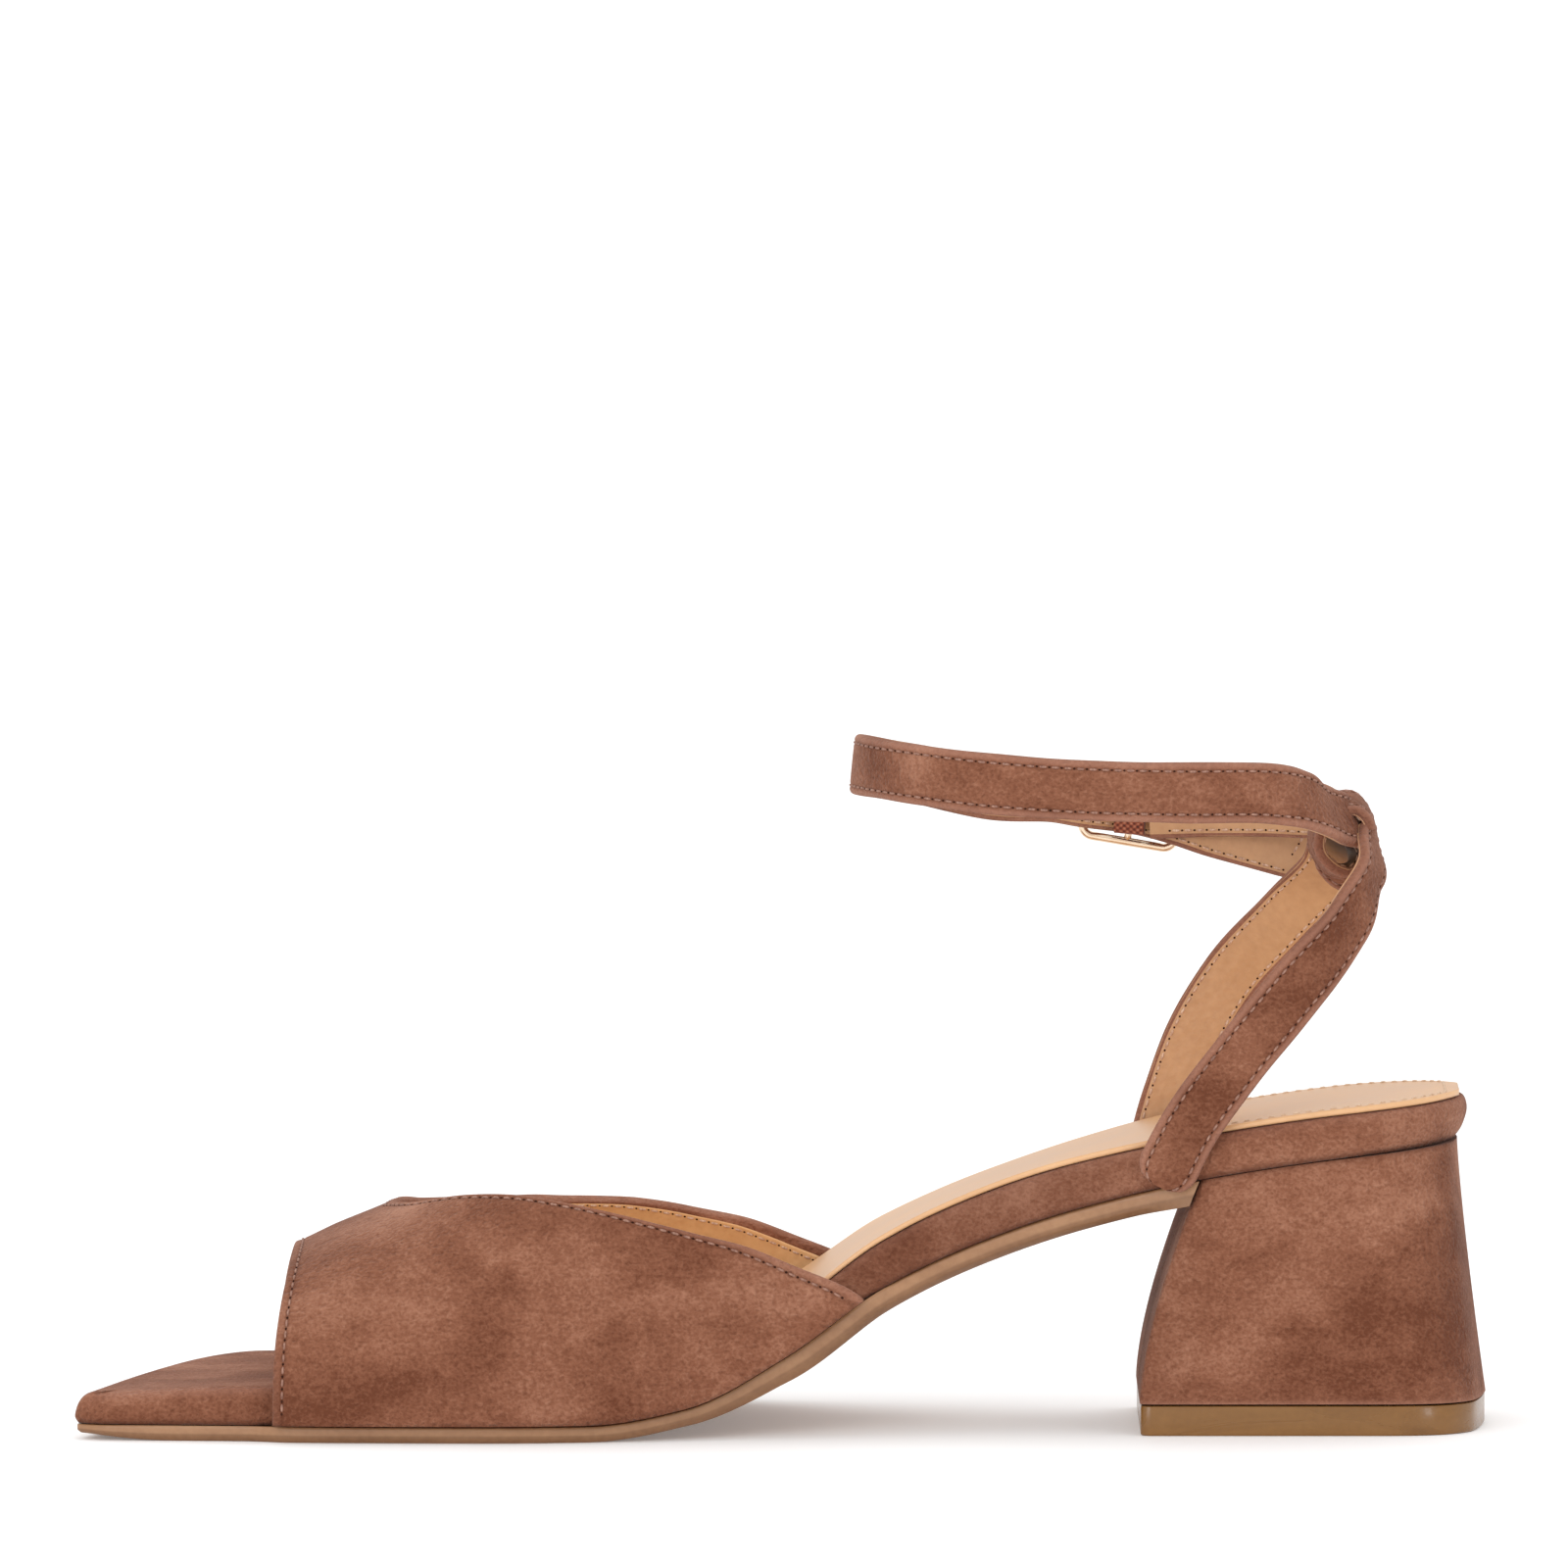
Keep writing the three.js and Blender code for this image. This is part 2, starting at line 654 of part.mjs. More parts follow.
// One turn round the other strap, as offsets from the knot's middle in shares of the knot's reach.
const knotTurn = [
  { back: 0.75, side: -0.8, rise: 0.05, across: [0.2, 0.97, 0.05] },
  { back: 0.62, side: -0.78, rise: 0.72, across: [0.12, 0.96, 0.2] },
  { back: 0.05, side: -0.74, rise: 1.08, across: [0, 0.95, 0.25] },
  { back: -0.6, side: -0.7, rise: 0.82, across: [-0.15, 0.93, 0.2] },
  { back: -1.0, side: -0.6, rise: 0.1, across: [-0.42, 0.9, 0] },
  { back: -0.75, side: -0.42, rise: -0.75, across: [-0.33, 0.9, -0.25] },
  { back: 0.0, side: -0.1, rise: -1.2, across: [-0.05, 0.89, -0.4] },
  { back: 0.5, side: 0.5, rise: -1.0, across: [0.25, 0.85, -0.45] },
  { back: 0.5, side: 1.3, rise: -0.3, across: [0.4, 0.7, -0.6] },
];

// The ankle loop's rows: forward is the share of the loop's length from the knot, side the share
// of its half width, up an offset from the ankle height.
const buckleSide = [
  { forward: 0.0, side: 0.44, up: -6.0, across: [0.3, 0.35, -0.88] },
  { forward: 0.1, side: 0.68, up: -6.6, across: [0.05, 0.1, -1] },
  { forward: 0.24, side: 0.85, up: -7.2, across: [0, 0.04, -1] },
  { forward: 0.39, side: 0.9, up: -7.6, across: [0, 0, -1] },
];
const loopRows = [
  { forward: -0.01, side: 0.13, up: -10.8, across: [0.5, 0.45, -0.72] },
  { forward: 0.0, side: -0.14, up: -7.2, across: [0.5, 0.1, -0.85] },
  { forward: 0.035, side: -0.4, up: -4.2, across: [0.38, -0.3, -0.88] },
  { forward: 0.08, side: -0.62, up: -2.3, across: [0.16, -0.2, -0.96] },
  { forward: 0.15, side: -0.81, up: -1.0, across: [0.03, -0.05, -1] },
  { forward: 0.34, side: -0.97, up: -0.5, across: [0, 0, -1] },
  { forward: 0.54, side: -1.0, up: 0.0, across: [0, 0, -1] },
  { forward: 0.74, side: -0.92, up: 1.0, across: [0, 0, -1] },
  { forward: 0.88, side: -0.7, up: 2.0, across: [0, 0, -1] },
  { forward: 0.968, side: -0.36, up: 2.4, across: [0, 0.04, -1] },
  { forward: 1.0, side: 0.0, up: 2.2, across: [-0.1, 0, -1] },
  { forward: 0.968, side: 0.36, up: 1.0, across: [0, -0.05, -1] },
  { forward: 0.87, side: 0.7, up: -1.2, across: [0.05, -0.05, -1] },
  { forward: 0.72, side: 0.9, up: -4.3, across: [0.08, 0, -1] },
];

// The strap's free end passes inside the buckle's front wire, over its bar and inside its rear wire.
const knotMiddle = new THREE.Vector3(shoeLength - knotFromBack, 0, knotHeight);
const buckleMiddle = new THREE.Vector3(
  knotMiddle.x - buckleShare * ankleLoopLength,
  ankleLoopWidth / 2 + 1,
  ankleHeight - buckleDrop,
);
const weave = buckleWire / 2 + strapThickness / 2 + clearance;
const freeEndRows = [
  { along: -0.8, weave: -1.25, drop: 0.0 },
  { along: -0.5, weave: -1.3, drop: 0.0 },
  { along: 0.0, weave: 1.1, drop: 0.0 },
  { along: 0.5, weave: -1.3, drop: 0.02 },
  { along: 0.85, weave: -1.5, drop: 0.075 },
  { along: 1.52, weave: -2.4, drop: 0.14 },
];

const strapSeat = shoeLength - strapFromBack;

// Where a strap's foot lies flat against the side of the insole.
function strapFoot(side) {
  const reach = strapWidth * 0.7;
  const widest = Math.max(...[-reach, 0, reach].map((d) => Math.abs(plan(strapSeat + d, side))));
  return new THREE.Vector3(
    strapSeat,
    side * (widest + clearance + strapThickness / 2),
    featherHeight(strapSeat) + 0.6,
  );
}

function riserPoints(rows, side) {
  const foot = strapFoot(side);
  return rows.map((row) => new THREE.Vector3(
    mix(foot.x, knotMiddle.x, row.back),
    foot.y * row.side,
    mix(foot.z, knotMiddle.z, row.rise),
  ));
}

function turnPoints() {
  return knotTurn.map((row) => new THREE.Vector3(
    knotMiddle.x + row.back * knotReach,
    row.side * knotReach,
    knotMiddle.z + row.rise * knotReach,
  ));
}

function loopPoints(rows) {
  return rows.map((row) => new THREE.Vector3(
    knotMiddle.x - row.forward * ankleLoopLength,
    (row.side * ankleLoopWidth) / 2,
    ankleHeight + row.up,
  ));
}

function freeEndPoints() {
  return freeEndRows.map((row) => new THREE.Vector3(
    buckleMiddle.x + row.along * buckleLength,
    buckleMiddle.y + row.weave * weave,
    buckleMiddle.z - (row.along * buckleSlope + row.drop) * buckleLength,
  ));
}

// The foot of a strap is a rounded tongue, and its other end is cut square.
function tongueScale(distance) {
  const round = strapWidth * 0.4;
  return mix(0.35, 1, endRound(distance, round));
}

// The strap from the inner side: foot, riser, one turn round the other strap, tab of the buckle.
function buckleStrap() {
  const rows = [...medialRiser, ...knotTurn, ...buckleSide];
  const points = [...riserPoints(medialRiser, -1), ...turnPoints(), ...loopPoints(buckleSide)];
  const section = stripSection(strapWidth, strapThickness);
  return solidInStretches(carriedRings(points, acrossOf(rows), section, tongueScale, 84), 4);
}

const downwards = { across: [-buckleSlope, 0, -1] };

// The strap from the outer side: foot, riser, through the turn, round the ankle, free end.
function ankleStrap() {
  const rows = [...lateralRiser, ...loopRows, ...freeEndRows.map(() => downwards)];
  const points = [...riserPoints(lateralRiser, 1), ...loopPoints(loopRows), ...freeEndPoints()];
  const section = stripSection(strapWidth, strapThickness);
  return solidInStretches(carriedRings(points, acrossOf(rows), section, tongueScale, 110), 4);
}

function prongWireSolid(diameter) {
  const start = new THREE.Vector3(buckleMiddle.x - buckleWire / 2 - clearance - prongWire / 2, buckleMiddle.y, 0);
  const lift = buckleWire / 2 + prongWire / 2 + clearance;
  const tip = new THREE.Vector3(buckleMiddle.x - buckleLength / 2 - 0.9, buckleMiddle.y + lift, 0);
  const points = [0, 0.35, 0.7, 1].map((k) => {
    const point = start.clone().lerp(tip, k);
    point.y += Math.sin(Math.PI * k) * 0.7;
    point.z = buckleMiddle.z + (buckleMiddle.x - point.x) * buckleSlope;
    return point;
  });
  const up = () => new THREE.Vector3(0, 0, 1);
  return solidOfRings(carriedRings(points, up, wireSection(diameter, wireSides), () => 1, 6), false);
}

// Both straps, joined where they cross behind the ankle, with the slot that the prong passes. A
// pocket that the crossing closes in is filled.
function makeStraps(material) {
  const slot = prongWireSolid(prongWire + 2 * prongSlot);
  const solid = buckleStrap().add(ankleStrap()).subtract(slot);
  const filled = wasm.Manifold.compose(solid.decompose().filter((part) => part.volume() > 0));
  return meshOfSolid('back_straps', filled, material);
}

// Elastic tape between the tab's end and the buckle's bar.
function makeElastic(material) {
  const tabEnd = loopPoints(buckleSide).at(-1);
  const start = tabEnd.clone();
  start.x -= clearance + elasticThickness / 2;
  const end = buckleMiddle.clone();
  end.x -= elasticPastBar;
  end.y -= buckleWire / 2 + clearance + elasticThickness / 2;
  const middle = start.clone().lerp(end, 0.5);
  const down = () => new THREE.Vector3(0, 0, -1);
  const section = stripSection(elasticWidth, elasticThickness);
  const solid = solidOfRings(carriedRings([start, middle, end], down, section, () => 1, 6), false);
  return meshOfSolid('buckle_elastic', solid, material);
}

// Buckle frame: a rectangle of thin wire with rounded corners and a bar across its middle.
function makeBuckleFrame(material) {
  const corner = buckleCorner;
  const halfLength = (buckleLength - buckleWire) / 2;
  const halfHeight = (buckleHeight - buckleWire) / 2;
  const points = [];
  for (const [sx, sz, from] of [[1, 1, 0], [-1, 1, 1], [-1, -1, 2], [1, -1, 3]]) {
    for (const k of [0, 0.5, 1]) {
      const angle = ((from + k) * Math.PI) / 2;
      points.push(placeOnBuckle(
        sx * (halfLength - corner) + corner * Math.cos(angle),
        sz * (halfHeight - corner) + corner * Math.sin(angle),
      ));
    }
  }
  const out = () => new THREE.Vector3(0, 1, 0);
  const wire = wireSection(buckleWire, wireSides);
  const frame = solidOfRings(carriedRings(points, out, wire, () => 1, 40, true), true);
  const barEnds = [placeOnBuckle(0, -halfHeight), placeOnBuckle(0, halfHeight)];
  const barWire = wireSection(buckleWire * barShare, wireSides);
  const bar = solidOfRings(carriedRings(barEnds, out, barWire, () => 1, 1), false);
  return meshOfSolid('buckle_frame', frame.add(bar), material);
}

// The buckle's plane follows the slope of the strap that it holds.
function placeOnBuckle(along, up) {
  return new THREE.Vector3(
    buckleMiddle.x + along + up * buckleSlope,
    buckleMiddle.y,
    buckleMiddle.z + up - along * buckleSlope,
  );
}

const suede = new THREE.MeshStandardMaterial({ color: 0x8a5a44, roughness: 0.95, metalness: 0 });
const lining = new THREE.MeshStandardMaterial({ color: 0xd9b088, roughness: 0.5, metalness: 0 });
const soleLeather = new THREE.MeshStandardMaterial({ color: 0xa77f56, roughness: 0.5, metalness: 0 });
const topPieceRubber = new THREE.MeshStandardMaterial({ color: 0x8f6539, roughness: 0.35, metalness: 0 });
const elastic = new THREE.MeshStandardMaterial({ color: 0x7a3a26, roughness: 0.8, metalness: 0 });
const gold = new THREE.MeshStandardMaterial({ color: 0xe0c08a, roughness: 0.25, metalness: 1 });

const sandal = new THREE.Group();
sandal.add(
  makeOutsole(soleLeather),
  makeInsole(suede),
  makeSockLining(lining),
  makeHeel(suede),
  makeTopPiece(topPieceRubber),
  makeVamp(suede),
  makeStraps(suede),
  makeElastic(elastic),
  makeBuckleFrame(gold),
  meshOfSolid('buckle_prong', prongWireSolid(prongWire), gold),
);

const box = new THREE.Box3().setFromObject(sandal);
const middle = box.getCenter(new THREE.Vector3());
sandal.position.set(-middle.x, -middle.y, -box.min.z);

export default sandal;
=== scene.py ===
import math

import bmesh
import bpy
import numpy as np
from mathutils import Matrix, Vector


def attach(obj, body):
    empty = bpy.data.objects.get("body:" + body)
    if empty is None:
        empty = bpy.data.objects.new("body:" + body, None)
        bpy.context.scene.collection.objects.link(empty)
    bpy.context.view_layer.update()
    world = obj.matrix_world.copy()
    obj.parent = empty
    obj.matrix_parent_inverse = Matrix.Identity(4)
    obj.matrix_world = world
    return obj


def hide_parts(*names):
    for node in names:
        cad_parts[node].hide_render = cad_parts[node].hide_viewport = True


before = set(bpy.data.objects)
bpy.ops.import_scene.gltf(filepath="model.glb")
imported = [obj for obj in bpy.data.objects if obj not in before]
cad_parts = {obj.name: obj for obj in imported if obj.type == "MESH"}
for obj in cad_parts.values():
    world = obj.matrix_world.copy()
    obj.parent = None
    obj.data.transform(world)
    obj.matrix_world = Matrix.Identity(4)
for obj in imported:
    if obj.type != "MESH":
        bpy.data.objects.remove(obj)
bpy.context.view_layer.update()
print("frame loaded")

# The photograph: a long lens from the inner side, a little above the shoe
photo = {
    "pixels": 1600,
    "pixelsPerMm": 5.92,
    "middleAlong": 0.5,      # mm along the shoe that the picture's middle looks at
    "middleUp": 110.3,       # mm above the floor that it looks at
    "elevation": 4.25,       # degrees
    "distance": 4.5,         # metres
    "sensor": 36.0,
}


# The photo's camera: back from its target and up by its elevation
def makeCamera(p):
    data = bpy.data.cameras.new("photoCamera")
    camera = bpy.data.objects.new("photoCamera", data)
    bpy.context.scene.collection.objects.link(camera)
    target = Vector((p["middleAlong"] * 0.001, 0.0, p["middleUp"] * 0.001))
    tilt = math.radians(p["elevation"])
    camera.location = target + p["distance"] * Vector((0.0, -math.cos(tilt), math.sin(tilt)))
    camera.rotation_euler = (math.pi / 2 - tilt, 0.0, 0.0)
    width = p["pixels"] / p["pixelsPerMm"] * 0.001
    data.sensor_width = p["sensor"]
    data.lens = p["sensor"] * p["distance"] / width
    data.clip_end = 100.0
    bpy.context.scene.camera = camera


studio = {
    "floorHalf": 30.0,       # metres
    "floorColour": 0.93,
    "worldStrength": 0.97,
    "floorGlow": 0.14,       # light table: the paper is lit a little from below
    "skylight": {"strength": 0.5, "angle": 60.0, "tilt": 20.0},   # soft light from above and behind
    "lamps": [
        # name, place, size in metres, power in watts
        ("frontLeft", (-0.9, -2.3, 0.9), 1.2, 16.0),
        ("frontRight", (1.25, -1.6, 0.4), 0.3, 2.5),
    ],
}


# The white floor, a square with a glow of its own
def makeFloor(s):
    size = s["floorHalf"]
    mesh = bpy.data.meshes.new("studioFloor")
    corners = [(-size, -size, 0), (size, -size, 0), (size, size, 0), (-size, size, 0)]
    mesh.from_pydata(corners, [], [(0, 1, 2, 3)])
    floor = bpy.data.objects.new("studioFloor", mesh)
    bpy.context.scene.collection.objects.link(floor)
    material = bpy.data.materials.new("studioPaper")
    material.use_nodes = True
    shader = material.node_tree.nodes["Principled BSDF"]
    shader.inputs["Base Color"].default_value = (s["floorColour"],) * 3 + (1,)
    shader.inputs["Roughness"].default_value = 0.7
    shader.inputs["Specular IOR Level"].default_value = 0.2
    shader.inputs["Emission Color"].default_value = (1, 1, 1, 1)
    shader.inputs["Emission Strength"].default_value = s["floorGlow"]
    mesh.materials.append(material)


# White surroundings and the area lights, each turned to the shoe's middle
def makeLights(s):
    world = bpy.data.worlds.new("studioLight")
    bpy.context.scene.world = world
    world.use_nodes = True
    background = world.node_tree.nodes["Background"]
    background.inputs["Color"].default_value = (1, 1, 1, 1)
    background.inputs["Strength"].default_value = s["worldStrength"]
    for name, place, size, power in s["lamps"]:
        data = bpy.data.lights.new(name, "AREA")
        data.size = size
        data.energy = power
        lamp = bpy.data.objects.new(name, data)
        lamp.location = place
        aim = Vector((0, 0, 0.05)) - Vector(place)
        lamp.rotation_euler = aim.to_track_quat("-Z", "Y").to_euler()
        bpy.context.scene.collection.objects.link(lamp)


# A broad soft sun from above, tilted from the camera's side
def makeSkylight(s):
    data = bpy.data.lights.new("skylight", "SUN")
    data.energy = s["strength"]
    data.angle = math.radians(s["angle"])
    lamp = bpy.data.objects.new("skylight", data)
    lamp.rotation_euler = (-math.radians(s["tilt"]), 0, 0)
    bpy.context.scene.collection.objects.link(lamp)


makeCamera(photo)
makeFloor(studio)
makeLights(studio)
makeSkylight(studio["skylight"])
bpy.context.scene.view_settings.view_transform = "Standard"
print("camera, floor and lights")


# Materials: each is a colour built from soft noises on Object coordinates, with its own bump


def colourOf(red, green, blue, light=1.17):
    # a colour as seen under this studio's light, turned into the linear value that a shader takes
    c = np.array([red, green, blue]) / 255.0
    linear = np.where(c <= 0.04045, c / 12.92, ((c + 0.055) / 1.055) ** 2.4) / light
    return tuple(float(v) for v in linear) + (1.0,)


class Recipe:
    # a material's node tree, with short calls for the nodes that every finish here uses

    def __init__(self, name):
        self.material = bpy.data.materials.new(name)
        self.material.use_nodes = True
        self.tree = self.material.node_tree
        self.shader = self.tree.nodes["Principled BSDF"]
        self.place = self.tree.nodes.new("ShaderNodeTexCoord").outputs["Object"]

    def link(self, source, target):
        self.tree.links.new(source, target)

    def noise(self, scale, detail=2.0, stretch=(1, 1, 1), distortion=0.0, start=(0, 0, 0)):
        mapping = self.tree.nodes.new("ShaderNodeMapping")
        mapping.inputs["Scale"].default_value = stretch
        mapping.inputs["Location"].default_value = start
        self.link(self.place, mapping.inputs["Vector"])
        node = self.tree.nodes.new("ShaderNodeTexNoise")
        node.inputs["Scale"].default_value = scale
        node.inputs["Detail"].default_value = detail
        node.inputs["Distortion"].default_value = distortion
        self.link(mapping.outputs[0], node.inputs["Vector"])
        return node.outputs["Fac"]

    def pores(self, scale):
        node = self.tree.nodes.new("ShaderNodeTexVoronoi")
        node.inputs["Scale"].default_value = scale
        self.link(self.place, node.inputs["Vector"])
        return node.outputs["Distance"]

    def attribute(self, name):
        node = self.tree.nodes.new("ShaderNodeAttribute")
        node.attribute_name = name
        return node.outputs["Fac"]

    def math(self, kind, a, b):
        node = self.tree.nodes.new("ShaderNodeMath")
        node.operation = kind
        for i, value in enumerate((a, b)):
            if isinstance(value, (int, float)):
                node.inputs[i].default_value = value
            else:
                self.link(value, node.inputs[i])
        return node.outputs[0]

    def blend(self, parts, middle=0.5):
        # middle + the sum of weight times (noise - 0.5)
        total = middle - sum(weight for _, weight in parts) * 0.5
        for source, weight in parts:
            total = self.math("ADD", self.math("MULTIPLY", source, weight), total)
        return total

    def ramp(self, value, stops):
        node = self.tree.nodes.new("ShaderNodeValToRGB")
        node.color_ramp.elements[0].position = stops[0][0]
        node.color_ramp.elements[0].color = stops[0][1]
        node.color_ramp.elements[1].position = stops[-1][0]
        node.color_ramp.elements[1].color = stops[-1][1]
        for at, colour in stops[1:-1]:
            node.color_ramp.elements.new(at).color = colour
        self.link(value, node.inputs["Fac"])
        return node.outputs["Color"]

    def mixColour(self, share, a, b):
        node = self.tree.nodes.new("ShaderNodeMix")
        node.data_type = "RGBA"
        sockets = [s for s in node.inputs if s.type == "RGBA"]
        self.link(share, node.inputs["Factor"])
        for socket, value in zip(sockets, (a, b)):
            if isinstance(value, tuple):
                socket.default_value = value
            else:
                self.link(value, socket)
        return [s for s in node.outputs if s.type == "RGBA"][0]

    def bump(self, height, distance, strength=1.0):
        node = self.tree.nodes.new("ShaderNodeBump")
        node.inputs["Strength"].default_value = strength
        node.inputs["Distance"].default_value = distance
        self.link(height, node.inputs["Height"])
        self.link(node.outputs["Normal"], self.shader.inputs["Normal"])

    def finish(self, colour, roughness, **constants):
        self.link(colour, self.shader.inputs["Base Color"])
        if isinstance(roughness, (int, float)):
            self.shader.inputs["Roughness"].default_value = roughness
        else:
            self.link(roughness, self.shader.inputs["Roughness"])
        for name, value in constants.items():
            self.shader.inputs[name].default_value = value
        return self.material


suedeFinish = {
    "dark": colourOf(110, 63, 43),
    "middle": colourOf(143, 92, 69),
    "light": colourOf(176, 124, 99),
    "rubbedAndHighlight": colourOf(182, 132, 112),
    "shadow": colourOf(84, 46, 32),
    "patchStart": (2.35, 0.4, 1.7),
    "patches": 42.0,        # per metre: soft areas where the nap lies another way
    "strokes": 120.0,
    "fibres": 1900.0,
}


def makeSuede(s):
    # nap: broad patches, shorter strokes along the shoe and fine fibres; edges are rubbed lighter, the same
    # lighter colour is painted highlight on the insole's rim, and the dark colour draws seams and painted
    # shade
    r = Recipe("suede")
    patches = r.noise(s["patches"], 1.2, (0.8, 1, 1.1), 0.5, start=s["patchStart"])
    strokes = r.noise(s["strokes"], 1.5, (0.7, 1, 1), 0.7)
    flecks = r.noise(s["fibres"] * 0.5, 2.0, (0.75, 1, 1), 0.4)
    fibres = r.noise(s["fibres"], 2.0, (0.8, 1, 1), 0.3)
    tone = r.blend([(patches, 1.0), (strokes, 0.6), (flecks, 0.4), (fibres, 0.7)], 0.46)
    colour = r.ramp(tone, [(0.15, s["dark"]), (0.5, s["middle"]), (0.85, s["light"])])
    colour = r.mixColour(r.attribute("wearAndHighlight"), colour, s["rubbedAndHighlight"])
    colour = r.mixColour(r.attribute("seamAndShade"), colour, s["shadow"])
    height = r.blend([(flecks, 1.0), (fibres, 0.8), (strokes, 0.8)])
    r.bump(height, 0.0006, 0.8)
    return r.finish(colour, 0.92, **{
        "Specular IOR Level": 0.15,
        "Sheen Weight": 0.12,
        "Sheen Roughness": 0.45,
        "Sheen Tint": (1.0, 0.82, 0.72, 1.0),
    })


def makeLeather(name, dark, light, roughness, grain=900.0, depth=0.00012):
    # smooth lining leather: cloudy colour, fine pores and soft wrinkles; drawn lighter at worn edges and as
    # painted highlight on the sock's edge, and near black as painted shade in the strap knot
    r = Recipe(name)
    clouds = r.noise(38.0, 3.0, (1, 1, 1), 0.5)
    speck = r.noise(grain * 0.7, 3.0)
    tone = r.blend([(clouds, 1.1), (speck, 0.5)])
    colour = r.ramp(tone, [(0.15, dark), (0.85, light)])
    colour = r.mixColour(r.attribute("wearAndHighlight"), colour, tuple(min(1.0, c * 1.18) for c in light[:3]) + (1.0,))
    colour = r.mixColour(r.attribute("seamAndShade"), colour, tuple(c * 0.16 for c in dark[:3]) + (1.0,))
    creases = r.noise(330.0, 2.0, (1, 1, 0.25), 0.4)
    height = r.blend([(r.pores(grain), 0.9), (r.noise(150.0, 3.0), 1.2), (creases, 1.6), (speck, 0.5)])
    r.bump(height, depth, 0.7)
    rough = r.blend([(clouds, 0.18), (speck, 0.12)], roughness)
    return r.finish(colour, rough, **{"Specular IOR Level": 0.45})


def makeSoleLeather():
    # edge: pale smooth upper band and browner bevel, by the attribute bevel; the bevel's darker colour is
    # painted shade on its downward face. The bottom is drawn leather with long soft streaks
    r = Recipe("soleLeather")
    streaks = r.noise(260.0, 4.0, (0.18, 1, 1), 0.3)
    speck = r.noise(900.0, 3.0)
    tone = r.blend([(streaks, 0.9), (speck, 0.5)])
    upper = r.ramp(tone, [(0.15, colourOf(150, 105, 70)), (0.85, colourOf(184, 138, 99))])
    lower = r.ramp(tone, [(0.15, colourOf(124, 83, 52)), (0.85, colourOf(154, 111, 75))])
    colour = r.mixColour(r.attribute("bevel"), upper, lower)
    r.bump(r.blend([(streaks, 1.0), (speck, 0.6)]), 0.00012, 0.7)
    rough = r.blend([(streaks, 0.2)], 0.42)
    return r.finish(colour, rough, **{"Specular IOR Level": 0.5})


def makeTopPieceRubber():
    # cast brown lift: faint swirls, a glossy skin and fine pits
    r = Recipe("topPieceRubber")
    swirl = r.noise(70.0, 4.0, (0.5, 0.5, 2.5), 1.6)
    pits = r.noise(1100.0, 2.0)
    tone = r.blend([(swirl, 1.0), (pits, 0.3)])
    colour = r.ramp(tone, [(0.15, colourOf(116, 76, 32)), (0.85, colourOf(146, 102, 50))])
    r.bump(r.blend([(pits, 1.0), (swirl, 0.6)]), 0.00006, 0.6)
    shine = {"Specular IOR Level": 0.4, "Coat Weight": 0.12}
    return r.finish(colour, r.blend([(swirl, 0.12)], 0.27), **shine)


def makeGold():
    # plated wire: slight cloudiness and hairline scratches
    r = Recipe("goldWire")
    haze = r.noise(240.0, 3.0)
    hair = r.noise(2400.0, 2.0, (0.1, 1, 1))
    colour = r.ramp(haze, [(0.2, colourOf(222, 192, 160, 1)), (0.8, colourOf(244, 224, 200, 1))])
    r.bump(r.blend([(hair, 0.6), (haze, 0.8)]), 0.00002, 0.5)
    return r.finish(colour, r.blend([(haze, 0.12), (hair, 0.1)], 0.22), **{"Metallic": 1.0})


weavePitch = (1.3, 1.0)     # millimetres along and across the tape


def makeElasticWeave():
    # woven tape: ribs across and threads along, on the piece's own UV map in millimetres
    r = Recipe("elasticWeave")
    uv = r.tree.nodes.new("ShaderNodeUVMap")
    uv.uv_map = "tape"
    split = r.tree.nodes.new("ShaderNodeSeparateXYZ")
    r.link(uv.outputs[0], split.inputs[0])
    along = r.math("SINE", r.math("MULTIPLY", split.outputs[0], 2 * math.pi / weavePitch[0]), 0.0)
    across = r.math("SINE", r.math("MULTIPLY", split.outputs[1], 2 * math.pi / weavePitch[1]), 0.0)
    check = r.math("MULTIPLY", along, across)
    speck = r.noise(1600.0, 3.0)
    tone = r.math("ADD", r.math("MULTIPLY", check, 0.32), r.blend([(speck, 0.5)]))
    stops = [(0.1, colourOf(52, 24, 20)), (0.5, colourOf(138, 66, 42)), (0.9, colourOf(190, 126, 96))]
    colour = r.ramp(tone, stops)
    r.bump(tone, 0.0002, 0.8)
    return r.finish(colour, 0.78, **{"Specular IOR Level": 0.3, "Sheen Weight": 0.15})


def makeThread(name, dark, light):
    # twisted thread: slanting light and dark turns, painted glints and painted shade of the twist
    r = Recipe(name)
    twist = r.noise(2600.0, 2.0, (1, 1, 0.5))
    colour = r.ramp(twist, [(0.2, dark), (0.8, light)])
    r.bump(twist, 0.00015, 0.6)
    return r.finish(colour, 0.6, **{"Specular IOR Level": 0.4})


# Painted shade in the needle holes: dark discs where the holes are
def makePinholeShade():
    r = Recipe("pinholeShade")
    colour = r.ramp(r.noise(1500.0), [(0.2, colourOf(44, 24, 18)), (0.8, colourOf(76, 44, 34))])
    return r.finish(colour, 0.95, **{"Specular IOR Level": 0.05})


